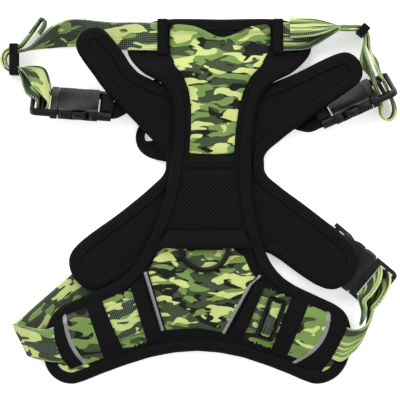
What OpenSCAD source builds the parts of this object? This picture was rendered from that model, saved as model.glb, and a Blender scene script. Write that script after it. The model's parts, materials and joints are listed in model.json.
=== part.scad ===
// Dog harness that discourages pulling, lying flat with its chest plate on top of its back plate.
// Millimetres. X runs to the right of the chest plate, Y towards the neck, Z up from the table.

/* [Webbing] */
// Width of the neck straps
neck_w = 20; // [16:1:22]
// Width of the belly strap
belly_w = 25; // [22:1:28]
// Thickness of all webbing
web_t = 1.6; // [1.2:0.1:2]

/* [Chest plate] */
// Width of the neck edge
neck_edge_w = 104; // [94:1:112]
// Width across the two strap flaps
flap_span = 130; // [122:1:136]
// Width of the waist
waist_w = 56; // [50:1:62]
// Width across the two wings
wing_span = 217; // [207:1:223]
// Distance from the neck edge to the lowest point of the wings
chest_h = 257; // [252:1:262]
// Thickness of the padded core with its cover
chest_pad_t = 4; // [3:0.5:5]
// Sideways lean of the neck end as the soft plate lies
sway = 14; // [8:1:16]

/* [Back plate] */
// Width of the waist
back_waist_w = 70; // [62:1:76]
// Length of an upper arm
upper_arm_l = 78; // [72:1:82]
// Width of an upper arm
upper_arm_w = 32; // [28:1:34]
// Length of a lower arm
lower_arm_l = 94; // [90:1:97]
// Width of a lower arm
lower_arm_w = 42; // [38:1:45]
// Thickness of the padded core
back_pad_t = 3.8; // [3:0.2:4.2]

/* [Covers and trim] */
// Width of the edge binding
binding_w = 8; // [6:0.5:9]
// Thickness of a lining
lining_t = 0.6; // [0.4:0.1:0.8]
// Thickness of a printed cover
cover_t = 0.8; // [0.6:0.1:1]
// Width of a reflective strip
reflective_w = 3; // [2:0.5:4]
// Thickness of a strap band
band_t = 1; // [0.8:0.1:1.4]
// Play between two stacked soft pieces
play = 0.3; // [0.2:0.05:0.4]

/* [Rings] */
// Inside width of the leash ring
ring_in = 30; // [26:1:32]
// Wire diameter of a ring
ring_wire = 3.8; // [3:0.2:4.2]

/* [Buckles] */
// Thickness of a buckle
buckle_t = 9.5; // [9:0.5:10.5]
// Wall of a buckle's side beyond the webbing
buckle_side = 4; // [3.5:0.25:4.5]
// Length of a female half
female_l = 36; // [34:1:38]
// Length of a male half outside the female
male_l = 20; // [19:0.5:22]

/* [Hidden] */
$fn = 48;
centre_x = -0.77;
centre_y = 2.57;
floor_gap = 0.3;
// heights of the stacked plates as they lie
hub_z = 5;
back_t = back_pad_t + 2 * lining_t;
chest_z = hub_z + back_t + play;
chest_top = lining_t + chest_pad_t;
binding_proud = 0.2;
// where the chest plate bends down to the table, neck end and wing end
neck_rest_y = 111;
neck_bend_y = 96;
wing_bend_y = -62;
wing_rest_y = -118;
wing_slope = atan(chest_z / (wing_bend_y - wing_rest_y));
wing_angle = 20;
wing_x = 50;
wing_y = -79;
wing_z = chest_z * (wing_y - wing_rest_y) / (wing_bend_y - wing_rest_y) + chest_top;
lean = sway / 187;
lean_y = -72;
neck_y = 131;
low_y = neck_y - chest_h;
neck_h = neck_edge_w / 2;
flap_h = flap_span / 2;
waist_h = waist_w / 2;
wing_h = wing_span / 2;
// the strap line on a flap
flap_strap_y = 118;
flap_strap_tilt = -5;
flap_strap_z = chest_top + play + 1 + web_t;
neck_band_x = 40.5;
neck_band_w = 8;
neck_band_l = 26;
// stations of the strap bands along the left wing, from the wing origin outwards; the right ones sit nearer
inner_band = [-15.5, -8];
right_inner_band = [-17.4, -12.4];
middle_band = [12.5, 25];
patch = [25.3, 39.2];
outer_strip = [39.5, 39.5 + reflective_w];
outer_band = [outer_strip[1] + 0.3, 48.5];
right_shift = -4.4;
function nearer(span) = [span[0] + right_shift, span[1] + right_shift];
band_h = web_t + 2 * play;
tunnel_w = belly_w + 2 * play;
// leash ring
ring_r = ring_wire / 2;
ring_arc_r = ring_in / 2 + ring_r;
ring_play = 0.06;
tab_wall = 1;
tab_r = ring_r + ring_play + tab_wall;
tab_l = ring_in - 4;
ring_y = -28.5;
ring_z = chest_z + chest_top + cover_t + tab_r + 0.1;
ring_tilt = 3.4;
ring_x = lean * (ring_y - lean_y);
// buckle fits
prong_play = 0.07;
knuckle_r = 1.6;
knuckle_x = 1.9;
cavity_h = 6;
prong_h = 5;
tail_x = 2 - female_l;
tail_r = 1.9;
mid_bar_x = male_l - 9;
mid_bar_r = 1.5;
end_bar_x = male_l - 2;
end_bar_r = 1.8;
web_off = web_t / 2 + 0.45;
// places of the three buckles: middle of the mouth, turn about X then Z
left_pose = [[-98.8, 71.4, 14.6], [52, 0, 176]];
right_pose = [[116.8, 77.2, 14.8], [-57, 0, 24.4]];
belly_pose = [[114.2, -48.9, buckle_t / 2 + floor_gap], [0, 0, -40]];
// straps standing on edge
edge_z = neck_w / 2 + 1.4;

// curves
function unit(v) = v / norm(v);
function blend4(a, b, c, d, t) = 0.5 * (2 * b + (c - a) * t + (2 * a - 5 * b + 4 * c - d) * t * t
    + (3 * b - a - 3 * c + d) * t * t * t);
function closed_curve(p, k) = let (n = len(p))
    [for (i = [0 : n - 1], j = [0 : k - 1])
        blend4(p[(i + n - 1) % n], p[i], p[(i + 1) % n], p[(i + 2) % n], j / k)];
function open_curve(p, k) = let (n = len(p))
    concat([for (i = [0 : n - 2], j = [0 : k - 1])
        blend4(p[max(i - 1, 0)], p[i], p[i + 1], p[min(i + 2, n - 1)], j / k)], [p[n - 1]]);
// moves every point of a closed counter-clockwise outline inwards
function inset(p, d) = let (n = len(p))
    [for (i = [0 : n - 1]) let (t = unit(p[(i + 1) % n] - p[(i + n - 1) % n])) p[i] + d * [-t[1], t[0]]];
// closed outline from the right half, listed from the neck down
function both(h) = let (n = len(h))
    concat([for (i = [n - 1 : -1 : 0]) h[i]], [for (i = [1 : n - 2]) [-h[i][0], h[i][1]]]);
function leant(p) = [for (q = p) [q[0] + lean * (q[1] - lean_y), q[1]]];
function rounded(lx, ly, r, n = 4) =
    [for (c = [[1, 1, 0], [-1, 1, 90], [-1, -1, 180], [1, -1, 270]], i = [0 : n]) let (a = c[2] + 90 * i / n)
        [c[0] * (lx / 2 - r) + r * cos(a), c[1] * (ly / 2 - r) + r * sin(a)]];

// outlines
chest_half = [[0, neck_y - 0.5], [neck_h * 0.62, neck_y], [neck_h - 2, neck_y - 2.5],
    [neck_h + 7, neck_y - 9], [flap_h, neck_y - 21], [flap_h - 4, neck_y - 30], [flap_h - 14, neck_y - 39.5],
    [waist_h + 10, neck_y - 46], [waist_h + 3, neck_y - 56], [waist_h, neck_y - 75], [waist_h, neck_y - 97],
    [waist_h + 2, neck_y - 121], [waist_h + 7.5, neck_y - 144], [wing_h - 66, low_y + 94],
    [wing_h - 57, low_y + 80],
    [wing_h - 43, low_y + 69.5], [wing_h - 15, low_y + 57], [wing_h - 4.5, low_y + 48], [wing_h, low_y + 30],
    [wing_h - 3, low_y + 13], [wing_h - 11, low_y + 3.5], [wing_h - 24, low_y], [wing_h - 42, low_y + 7],
    [wing_h - 76, low_y + 19], [0, low_y + 23.5]];
chest_edge = leant(closed_curve(both(chest_half), 2));
chest_inner = inset(chest_edge, binding_w);
// an arm: one side from the root, the rounded tip, the other side back
function arm(root, turn, l, w, tip) = let (side = [[0.4 * l, w / 2], [0.7 * l - 0.25 * tip, w / 4 + tip / 4],
    [l - 0.46 * tip, 0.49 * tip], [l - 0.13 * tip, 0.36 * tip]])
    [for (q = concat([for (v = side) [v[0], -v[1]]], [[l, 0]], [for (i = [3 : -1 : 0]) side[i]]))
        root + [q[0] * cos(turn) - q[1] * sin(turn), q[0] * sin(turn) + q[1] * cos(turn)]];
back_c = [10.5, 29];
back_edge = closed_curve(concat(
    [for (q = [[1.8, -9], [0, 0], [1.8, 9]]) back_c + [back_waist_w / 2, 0] + q],
    arm([46, 62], 30, upper_arm_l - 2, upper_arm_w, upper_arm_w - 5),
    [[34, 80], [10, 78], [-16, 82]],
    arm([-34.5, 59.5], 127, upper_arm_l, upper_arm_w - 6, upper_arm_w - 6),
    [for (q = [[-1.8, 9], [0, 0], [-1.8, -9]]) back_c - [back_waist_w / 2, 0] + q],
    arm([-10, 0], 213, lower_arm_l, lower_arm_w, lower_arm_w - 4),
    [[-20, -36], [6, -28], [30, -30]],
    arm([31.5, 5], -36.5, lower_arm_l, lower_arm_w, lower_arm_w - 2)), 2);
back_inner = inset(back_edge, binding_w);

// a layer that follows a bent plate: an outline cut from a bent slab
module along_y(profile, low, high) {
    intersection() {
        linear_extrude(60) children();
        translate([-160, 0, 0]) rotate([90, 0, 90]) linear_extrude(320)
            polygon(concat([for (p = profile) p + [0, low]],
                [for (i = [len(profile) - 1 : -1 : 0]) profile[i] + [0, high]]));
    }
}
module along_x(profile, low, high, y0, y1) {
    intersection() {
        linear_extrude(60) children();
        translate([0, y1, 0]) rotate([90, 0, 0]) linear_extrude(y1 - y0)
            polygon(concat([for (p = profile) p + [0, low]],
                [for (i = [len(profile) - 1 : -1 : 0]) profile[i] + [0, high]]));
    }
}
chest_profile = [[-140, 0], [wing_rest_y, 0], [wing_bend_y, chest_z],
    [neck_bend_y, chest_z], [neck_rest_y, 0], [145, 0]];
upper_profile = [[-110, hub_z + 14], [-72, hub_z + 13.6], [-34, hub_z],
    [54, hub_z], [84, hub_z + 13.4], [130, hub_z + 13.4]];
lower_profile = [[-110, hub_z], [54, hub_z], [90, hub_z + 7], [130, hub_z + 7]];
module on_chest(low, high) {
    along_y(chest_profile, low, high) children();
}
module on_back(low, high) {
    along_x(upper_profile, low, high, 29, 140) children();
    along_x(lower_profile, low, high, -80, 29) children();
}
module on_wing(side) {
    mirror([side < 0 ? 1 : 0, 0, 0])
        translate([wing_x, wing_y, wing_z]) rotate([wing_slope, 0, 0]) rotate([0, 0, -wing_angle]) children();
}
// a point and a direction of a wing frame in the shared frame
function turn_x(p, a) = [p[0], p[1] * cos(a) - p[2] * sin(a), p[1] * sin(a) + p[2] * cos(a)];
function turn_z(p, a) = [p[0] * cos(a) - p[1] * sin(a), p[0] * sin(a) + p[1] * cos(a), p[2]];
function wing_dir(p, side) = let (q = turn_x(turn_z(p, -wing_angle), wing_slope)) [side * q[0], q[1], q[2]];
function wing_at(p, side) = [side * wing_x, wing_y, wing_z] + wing_dir(p, side);
function pose_dir(p, pose) = turn_z(turn_x(p, pose[1][0]), pose[1][2]);
function pose_at(p, pose) = pose[0] + pose_dir(p, pose);
module at_pose(pose) {
    translate(pose[0]) rotate(pose[1]) children();
}

// webbing that hangs in a loop on the middle bar of a male half
function hung_on_bar(pose, up) = let (wrap = mid_bar_r + web_off, c = wrap * cos(45))
    [for (q = [[-wrap - 0.3, up], [-wrap - 0.05, 0], [-c - 0.1, -c - 0.1], [0, -wrap - 0.05],
        [c + 0.1, -c - 0.1], [wrap + 0.05, 0], [wrap + 0.3, up]]) in_pose(mid_bar_x + q[0], q[1], pose)];
// the middles of the two slots of a male half
slot_in = mid_bar_x - 3.4;
slot_out = mid_bar_x + 3.3;
// webbing that rises from a slot of a male half and turns over the lower side of its frame, bunched
fan_z = 3.4;
fan_lean = 0.36;
function fanned(pose, w, x, turn) = let (share = 1 - 0.38 * turn / 90,
    d = unit(pose_dir([fan_lean * sin(turn), cos(turn), sin(turn)], pose)))
    [pose_at([x, -w / 2 - 1, fan_z], pose) + (1 + share * w / 2) * d, d, share];
function bunch(s, share) = [s[0], s[1], share];
// a ribbon of webbing through stations of [middle, width direction, share of the width where it is bunched]
function station(x, y, z, az, tilt) = [[x, y, z], [cos(az) * cos(tilt), sin(az) * cos(tilt), sin(tilt)]];
function in_pose(x, z, pose, s = 1) = [pose_at([x, 0, z], pose), s * pose_dir([0, 1, 0], pose)];
function in_wing(x, z, side) = [wing_at([x, 0, z], side), wing_dir([0, 1, 0], side)];
module ribbon(stations, w, t, k) {
    mid = open_curve([for (s = stations) s[0]], k);
    wid = open_curve([for (s = stations) s[1]], k);
    part = open_curve([for (s = stations) [len(s) > 2 ? s[2] : 1, 0]], k);
    n = len(mid);
    tan = [for (i = [0 : n - 1]) unit(mid[min(i + 1, n - 1)] - mid[max(i - 1, 0)])];
    nor = [for (i = [0 : n - 1]) unit(cross(tan[i], wid[i]))];
    wdt = [for (i = [0 : n - 1]) unit(wid[i])];
    points = [for (i = [0 : n - 1], c = [[1, 1], [-1, 1], [-1, -1], [1, -1]])
        mid[i] + c[0] * part[i][0] * w / 2 * wdt[i] + c[1] * t / 2 * nor[i]];
    sides = [for (i = [0 : n - 2], c = [0 : 3], h = [0, 1]) let (a = 4 * i, d = (c + 1) % 4)
        h == 0 ? [a + c, a + 4 + d, a + d] : [a + c, a + 4 + c, a + 4 + d]];
    e = 4 * n - 4;
    caps = [[0, 1, 2], [0, 2, 3], [e, e + 2, e + 1], [e, e + 3, e + 2]];
    polyhedron(points, concat(sides, caps));
}

// back plate: outer cover below, padded core, mesh lining on top, bound edge
module back_cover() {
    color("#202022") on_back(0, lining_t) polygon(back_inner);
}
module back_core() {
    color("#303032") on_back(lining_t, lining_t + back_pad_t) polygon(back_inner);
}
module back_lining() {
    color("#2a2a2c") on_back(lining_t + back_pad_t, back_t) polygon(back_inner);
}
module back_ring_2d() {
    difference() {
        polygon(back_edge);
        polygon(back_inner);
    }
}
module back_binding() {
    color("#1c1c1e") on_back(0, back_t) back_ring_2d();
}
// carry handle, a loop whose bunched end hangs out beside the waist
handle_w = 16;
handle_z = hub_z - play - web_t / 2;
module back_handle() {
    color("#1a1a1c") ribbon([station(16, 57, handle_z, 90, 0), station(0, 57.4, handle_z, 90, 0),
        station(-16, 57.8, handle_z, 90, 0), bunch(station(-28, 58.2, handle_z - 0.2, 92, 0), 0.8),
        bunch(station(-35.6, 57.4, handle_z - 0.5, 112, -4), 0.5),
        bunch(station(-40.4, 53.6, handle_z - 0.4, 150, -12), 0.42),
        bunch(station(-42.2, 48.4, handle_z, 172, -20), 0.42),
        bunch(station(-41.2, 43.2, handle_z + 0.2, 206, -24), 0.48),
        bunch(station(-36.8, 40.2, handle_z - 0.5, 244, -6), 0.68),
        bunch(station(-30, 38.9, handle_z - 0.3, 262, -2), 0.9),
        station(-16, 37, handle_z, 262, 0), station(-2, 34.6, handle_z, 262, 0),
        station(12, 32, handle_z, 262, 0)], handle_w, web_t, 4);
}

// chest plate: lining, padded core, bound edge and the pieces sewn on its face
module chest_lining() {
    color("#262628") on_chest(0, lining_t) polygon(chest_inner);
}
module chest_core() {
    color("#2c2c2e") on_chest(lining_t, chest_top) polygon(chest_inner);
}
module chest_binding() {
    color("#1c1c1e") on_chest(0, chest_top + binding_proud) difference() {
        polygon(chest_edge);
        polygon(chest_inner);
    }
}
panel_half = [[0, neck_y - 11], [18, neck_y - 9.4], [34, neck_y - 9], [36, neck_y - 12],
    [35.5, neck_y - 24], [31, neck_y - 33], [24, neck_y - 41], [19.5, neck_y - 51], [17, neck_y - 63],
    [16, neck_y - 78], [16, neck_y - 95], [0, neck_y - 96]];
module neck_panel() {
    color("#82aa4b") on_chest(chest_top, chest_top + cover_t) polygon(leant(both(panel_half)));
}
trim_y = neck_y - 96.3;
trim_w = 9.4;
module trim_strip() {
    color("#202022") on_chest(chest_top, chest_top + cover_t)
        polygon(leant([[-18, trim_y - trim_w], [18, trim_y - trim_w], [17, trim_y], [-17, trim_y]]));
}
mesh_top = trim_y - trim_w - 0.3;
mesh_low = -17;
module mesh_panel() {
    color("#303034") on_chest(chest_top, chest_top + cover_t)
        polygon(leant([[-26, mesh_low], [26, mesh_low], [17.5, mesh_top], [-17.5, mesh_top]]));
}
// the flap rises over the sleeve that holds the leash ring
flap_low = ring_y + 2.4;
module ring_flap() {
    rise = ring_z + tab_r + play;
    base = chest_z + chest_top;
    line = [[mesh_low, base], [mesh_low - 1.2, base], [flap_low + tab_r, rise - 1], [flap_low, rise]];
    color("#1e1e20") intersection() {
        linear_extrude(60) polygon(leant([[-33, flap_low - 3], [33, flap_low - 3],
            [27, mesh_low - 0.3], [-27, mesh_low - 0.3]]));
        translate([-60, 0, 0]) rotate([90, 0, 90]) linear_extrude(120)
            polygon(concat(line, [for (i = [3 : -1 : 0]) line[i] + [0, cover_t]]));
    }
}
// lower and upper end of the belly panel's slanted side
function belly_side(side) = side < 0 ? [[23, -88], [38.5, -46]] : [[18.6, -90], [38.5, -48]];
module belly_panel() {
    l = belly_side(-1);
    r = belly_side(1);
    color("#82aa4b") on_chest(chest_top, chest_top + cover_t) polygon(leant([[29, mesh_low - 4.5],
        [-29, mesh_low - 4.5], [-33, -32], [-l[1][0], l[1][1]], [-l[0][0], l[0][1]], [0, -86.6], r[0], r[1],
        [33, -32]]));
}
module inner_strip(side) {
    edge = belly_side(side);
    color("#8c8c8c") on_chest(chest_top, chest_top + cover_t) polygon(leant([for (q = [edge[0] + [0.4, 0],
        edge[1] + [0.4, 0], edge[1] + [0.4 + reflective_w, -0.8], edge[0] + [0.4 + reflective_w, -1]])
            [side * q[0], q[1]]]));
}
module left_inner_strip() {
    inner_strip(-1);
}
module right_inner_strip() {
    inner_strip(1);
}
module wing_strap_band(side, span, ends) {
    on_wing(side) difference() {
        translate([span[0], ends[0], 0]) cube([span[1] - span[0], ends[1] - ends[0], band_h + band_t]);
        translate([span[0] - 1, -tunnel_w / 2, -1]) cube([span[1] - span[0] + 2, tunnel_w, band_h + 1]);
    }
}
// lower and upper end of a band across the wing
inner_band_ends = [-21, 21];
middle_band_ends = [-22, 16.5];
patch_ends = [-20, 15.5];
outer_band_ends = [-19, 13.1];
module left_inner_band() {
    color("#222224") wing_strap_band(-1, inner_band, inner_band_ends);
}
module right_inner_band() {
    color("#222224") wing_strap_band(1, right_inner_band, inner_band_ends);
}
module left_middle_band() {
    color("#222224") wing_strap_band(-1, middle_band, middle_band_ends);
}
module right_middle_band() {
    color("#222224") wing_strap_band(1, nearer(middle_band), middle_band_ends);
}
module left_patch() {
    color("#82aa4b") wing_strap_band(-1, patch, patch_ends);
}
module right_patch() {
    color("#82aa4b") wing_strap_band(1, nearer(patch), patch_ends);
}
module left_outer_strip() {
    color("#8c8c8c") wing_strap_band(-1, outer_strip, outer_band_ends);
}
module right_outer_strip() {
    color("#8c8c8c") wing_strap_band(1, nearer(outer_strip), outer_band_ends);
}
module left_outer_band() {
    color("#222224") wing_strap_band(-1, outer_band, outer_band_ends);
}
module right_outer_band() {
    color("#222224") wing_strap_band(1, [nearer(outer_band)[0], outer_band[1]], outer_band_ends);
}
function flap_x(u) = u + lean * (flap_strap_y - lean_y);
module neck_band(side) {
    translate([flap_x(side * neck_band_x), flap_strap_y, flap_strap_z]) rotate([flap_strap_tilt, 0, 0])
        translate([-neck_band_w / 2, -neck_band_l / 2, web_t / 2 + play])
            cube([neck_band_w, neck_band_l, band_t]);
}
module left_neck_band() {
    color("#222224") neck_band(-1);
}
module right_neck_band() {
    color("#222224") neck_band(1);
}

// leash ring in a sewn sleeve
module leash_ring() {
    color("#141416") translate([ring_x, ring_y, ring_z]) rotate([ring_tilt, 0, 0]) {
        rotate([0, 0, 180]) rotate_extrude(angle = 180) translate([ring_arc_r, 0]) circle(ring_r);
        rotate([0, 90, 0]) cylinder(h = 2 * ring_arc_r, r = ring_r, center = true);
        for (s = [-1, 1]) translate([s * ring_arc_r, 0, 0]) sphere(ring_r);
    }
}
module ring_tab() {
    color("#1c1c1e") translate([ring_x, ring_y, ring_z]) difference() {
        union() {
            rotate([0, 90, 0]) cylinder(h = tab_l, r = tab_r, center = true);
            translate([-tab_l / 2, 0, -tab_r]) cube([tab_l, 7, tab_wall]);
        }
        rotate([0, 90, 0]) cylinder(h = tab_l + 2, r = ring_r + ring_play, center = true);
    }
}

// three-bar slider on the right belly strap
slider_x = -0.4;
slider_pitch = 5.5;
slider_bar_r = 1.4;
slider_lift = 3.9;
module strap_slider() {
    end = 3.2;
    l = 2 * (slider_pitch + slider_bar_r);
    color("#141414") on_wing(1) translate([slider_x, 0, slider_lift]) intersection() {
        linear_extrude(4 * slider_bar_r, center = true) polygon(rounded(l, belly_w + 2 * end, 3));
        union() {
            for (x = [-slider_pitch, 0, slider_pitch]) translate([x, 0, 0]) rotate([90, 0, 0])
                cylinder(h = belly_w + 2 * end, r = slider_bar_r, center = true);
            for (s = [-1, 1]) translate([0, s * (belly_w + 1 + end) / 2, 0])
                cube([l, end - 0.5, 2 * slider_bar_r], center = true);
        }
    }
}

// belly strap: left side folds round to the lower left arm, right side runs to the belly buckle
run_z = play + web_t / 2;
module left_belly_strap() {
    color("#5a8250") ribbon([in_wing(-14.5, run_z, -1), in_wing(-6, run_z, -1), in_wing(12, run_z, -1),
        in_wing(30, run_z, -1), in_wing(46, run_z, -1), in_wing(57, run_z + 0.7, -1),
        station(-114, -97.4, 10.2, 111, 0), station(-122.4, -95.6, 8.2, 113, 0),
        station(-126, -94.6, 4.8, 116, 0), station(-124.2, -93.6, 2, 117, 0),
        station(-117, -88, 1.4, 121, 0), station(-102, -75, 1.5, 126, 0),
        station(-88, -63, 2.6, 128, 0), station(-76, -53, 3.7, 128, 0)], belly_w, web_t, 4);
}
module right_belly_strap() {
    wrap = slider_bar_r + web_off + 0.15;
    round = wrap * 0.74;
    // under the outer bars and over the middle one, as [along, up] from the middle bar
    half = [[-slider_pitch - 3, -wrap], [-slider_pitch, -wrap], [-slider_pitch + round, -round],
        [-round, round]];
    weave = concat(half, [[0, wrap]], [for (i = [3 : -1 : 0]) [-half[i][0], half[i][1]]]);
    color("#5a8250") ribbon(concat([in_wing(-16.4, run_z, 1)],
        [for (q = weave) in_wing(slider_x + q[0], slider_lift + q[1], 1)], [
        in_wing(22, run_z, 1), in_wing(34, run_z, 1), in_wing(46, run_z, 1), in_wing(56, run_z + 1, 1),
        bunch(station(109.8, -95, 12.4, 72, 26), 0.84), bunch(station(114.8, -89.6, 13.6, 74, 50), 0.8),
        bunch(station(117.6, -83, 15, 70, 66), 0.76), bunch(station(119, -76.4, 16.2, 56, 76), 0.68)],
        [for (a = [90, 60, 30, 0]) fanned(belly_pose, belly_w, mid_bar_x + 3.1, a)],
        [for (i = [6 : -1 : 0]) hung_on_bar(belly_pose, 1.6)[i]],
        [for (a = [0, 30, 60, 90]) fanned(belly_pose, belly_w, mid_bar_x - 3.1, a)],
        [bunch(station(114.6, -73.8, 15.8, 56, 78), 0.68), bunch(station(113.4, -81.6, 14.8, 68, 70), 0.76)]),
        belly_w, web_t, 4);
}

// neck straps: from the flap, on edge through the keeper, round the buckle's bars, then the free end
left_turn = [-130.5, 101.9];
turn_r = 6;
tail_turn_r = turn_r + web_t + 0.7;
module left_neck_strap() {
    x0 = flap_x(-neck_band_x);
    color("#5a8250") ribbon(concat([station(x0 + 3.4, flap_strap_y, flap_strap_z, 90, flap_strap_tilt),
        station(x0 - 6, flap_strap_y, flap_strap_z, 90, flap_strap_tilt),
        station(x0 - 20, flap_strap_y + 0.4, flap_strap_z + 0.4, 90, flap_strap_tilt - 2),
        station(-60, 118.4, 5, 90, -3), station(-72, 119.5, 2.8, 92, 0), station(-86, 121, 3.2, 94, 6),
        station(-99, 119, 7, 98, 34), station(-110, 114, 10.6, 100, 66),
        station(-119, 109.6, edge_z, 100, 88),
        station(-126, left_turn[1] + turn_r, edge_z, 100, 90),
        station(left_turn[0], left_turn[1] + turn_r, edge_z, 100, 90),
        station(left_turn[0] - turn_r * 0.72, left_turn[1] + turn_r * 0.72, edge_z, 100, 90),
        station(left_turn[0] - turn_r, left_turn[1], edge_z, 100, 90),
        station(left_turn[0] - turn_r * 0.72, left_turn[1] - turn_r * 0.72, edge_z, 100, 90),
        station(left_turn[0], left_turn[1] - turn_r, edge_z, 100, 90),
        station(-126.4, left_turn[1] - turn_r - 0.1, edge_z, 265, 90),
        station(-119, 93.4, 14, 265, 76), station(-112, 88.6, 18, 265, 62)], hung_on_bar(left_pose, 8),
        [station(-117.6, 84.5, 17, 265, 60), station(-123.4, 91.4, 12.4, 265, 84),
        station(left_turn[0] + 3.4, left_turn[1] - tail_turn_r, edge_z, 265, 90),
        station(left_turn[0] - 1, left_turn[1] - tail_turn_r, edge_z, 100, 90),
        station(left_turn[0] - tail_turn_r * 0.76, left_turn[1] - tail_turn_r * 0.66, edge_z, 100, 90),
        station(left_turn[0] - tail_turn_r, left_turn[1], edge_z, 100, 90),
        station(left_turn[0] - tail_turn_r * 0.72, left_turn[1] + tail_turn_r * 0.72, edge_z, 100, 90),
        station(left_turn[0], left_turn[1] + tail_turn_r + 0.1, edge_z, 100, 90),
        station(-126.2, 110.9, edge_z, 145, 89), station(-122.4, 114.8, edge_z, 145, 88),
        station(-117.4, 121.4, edge_z, 145, 88),
        station(-113.2, 127.4, edge_z, 145, 88), station(-110.6, 130.1, edge_z, 145, 88),
        station(-108.4, 128.7, edge_z, 145, 88), station(-109.4, 124.6, edge_z, 145, 88),
        station(-112.8, 119.8, edge_z, 145, 88)]), neck_w, web_t, 3);
}
right_turn = [109.6, 116.8];
module right_neck_strap() {
    x0 = flap_x(neck_band_x);
    color("#5a8250") ribbon(concat([station(x0 - 3.4, flap_strap_y, flap_strap_z, 90, flap_strap_tilt),
        station(x0 + 6, flap_strap_y, flap_strap_z, 90, flap_strap_tilt),
        station(x0 + 20, flap_strap_y, flap_strap_z + 0.3, 90, flap_strap_tilt),
        station(80.6, 119.2, 9.6, 92, 28), station(89.5, 121.6, 11, 96, 66),
        station(98, 123, edge_z, 100, 88), station(104.2, right_turn[1] + turn_r, edge_z, 100, 90),
        station(right_turn[0], right_turn[1] + turn_r, edge_z, 100, 90),
        station(right_turn[0] + turn_r * 0.72, right_turn[1] + turn_r * 0.72, edge_z, 100, 90),
        station(right_turn[0] + turn_r, right_turn[1], edge_z, 100, 90),
        station(114.6, 109.6, edge_z, 294, 88), station(115.4, 102, 12.8, 280, 78),
        station(117.4, 94.4, 16, 288, 66), in_pose(slot_in, 8, right_pose, -1),
        in_pose(slot_in, 0, right_pose, -1), in_pose(slot_in - 0.4, -5, right_pose, -1),
        station(126.4, 68.6, edge_z + 0.2, 294, 78), station(127.4, 62.6, edge_z, 294, 84),
        station(131.2, 59.4, edge_z, 294, 86), station(135, 62, edge_z, 294, 84),
        station(136, 68.6, edge_z + 0.2, 294, 78), in_pose(slot_out + 0.4, -5, right_pose, -1),
        in_pose(slot_out, 0, right_pose, -1), in_pose(slot_out, 8, right_pose, -1),
        station(124, 96.6, 16.4, 262, 68), station(119.9, 106, 12.6, 272, 80),
        station(118, 112, edge_z, 294, 88),
        station(right_turn[0] + tail_turn_r, right_turn[1], edge_z, 100, 90),
        station(right_turn[0] + tail_turn_r * 0.72, right_turn[1] + tail_turn_r * 0.72, edge_z, 100, 90),
        station(right_turn[0] + 2, right_turn[1] + tail_turn_r - 0.1, edge_z, 100, 90)]), neck_w, web_t, 4);
}
keeper_l = 6;
keeper_t = 1;
module keeper(x, y0, y1) {
    translate([x, (y0 + y1) / 2, edge_z]) rotate([90, 0, 90]) linear_extrude(keeper_l) difference() {
        polygon(rounded(y1 - y0 + 2 * keeper_t, neck_w + 0.6 + 2 * keeper_t, 2));
        polygon(rounded(y1 - y0, neck_w + 0.6, 1));
    }
}
module left_keeper() {
    reach = tail_turn_r + web_t / 2 + 0.8;
    color("#181818") keeper(left_turn[0] - 2.6, left_turn[1] - reach, left_turn[1] + reach);
}
module right_keeper() {
    color("#181818") translate([right_turn[0], right_turn[1], 0]) rotate([0, 0, -40])
        keeper(-keeper_l / 2, turn_r - 2.4, tail_turn_r + 2);
}

// side-release buckle: shell with side windows, tongued male with two sprung prongs and strap bars
function shell_w(w) = w + 2 * buckle_side;
function prong_y(w) = w / 2 - 0.6;
module female(w) {
    fw = shell_w(w);
    wall = 2;
    depth = female_l - 11;
    difference() {
        union() {
            translate([-(depth + 3) / 2, 0, 0]) intersection() {
                linear_extrude(buckle_t, center = true) polygon(rounded(depth + 3, fw, 3));
                rotate([90, 0, 90]) linear_extrude(depth + 5, center = true)
                    polygon(rounded(fw, buckle_t, 2.5));
            }
            for (s = [-1, 1]) translate([tail_x / 2 - depth / 2, s * (w / 2 + 2.3), 0])
                cube([-tail_x - depth + 2 * tail_r + 3, 3, 2 * tail_r + 1.6], center = true);
            translate([tail_x, 0, 0]) rotate([90, 0, 0]) cylinder(h = w + 6, r = tail_r, center = true);
        }
        translate([-depth, -fw / 2 + wall, -cavity_h / 2]) cube([depth + 1, fw - 2 * wall, cavity_h]);
        for (s = [-1, 1]) {
            translate([-22, s * (fw - wall) / 2 - wall / 2 - 1, -cavity_h / 2])
                cube([12, wall + 2, cavity_h]);
            translate([-16, s * (fw / 2 + 16), 0]) cylinder(h = buckle_t + 2, r = 18, center = true);
        }
    }
}
module male(w) {
    fw = shell_w(w);
    py = prong_y(w);
    base = 5;
    difference() {
        union() {
            translate([0.3 + base / 2, 0, 0]) cube([base, fw - 1, buckle_t - 1.6], center = true);
            translate([-10.5, 0, 0]) cube([23, 5, prong_h - 0.4], center = true);
            intersection() {
                linear_extrude(buckle_t, center = true)
                    polygon(rounded(2 * (end_bar_x + end_bar_r), w + 7.2, 4));
                union() {
                    for (s = [-1, 1]) translate([(base + end_bar_x) / 2, s * (w / 2 + 2.2), 0])
                        cube([end_bar_x - base + 2 * end_bar_r, 2.8, 2 * end_bar_r + 0.8], center = true);
                    translate([end_bar_x, 0, 0]) rotate([90, 0, 0])
                        cylinder(h = w + 5, r = end_bar_r, center = true);
                }
            }
            translate([mid_bar_x, 0, 0]) rotate([90, 0, 0]) cylinder(h = w + 5, r = mid_bar_r, center = true);
        }
        for (s = [-1, 1]) {
            translate([knuckle_x, s * py, 0])
                cylinder(h = prong_h + 0.2, r = knuckle_r + prong_play, center = true);
            translate([-0.5, s > 0 ? py - 2.3 : -py - 1.5, -prong_h / 2 - 0.1])
                cube([knuckle_x + 0.5, 3.8, prong_h + 0.2]);
        }
    }
}
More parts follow.
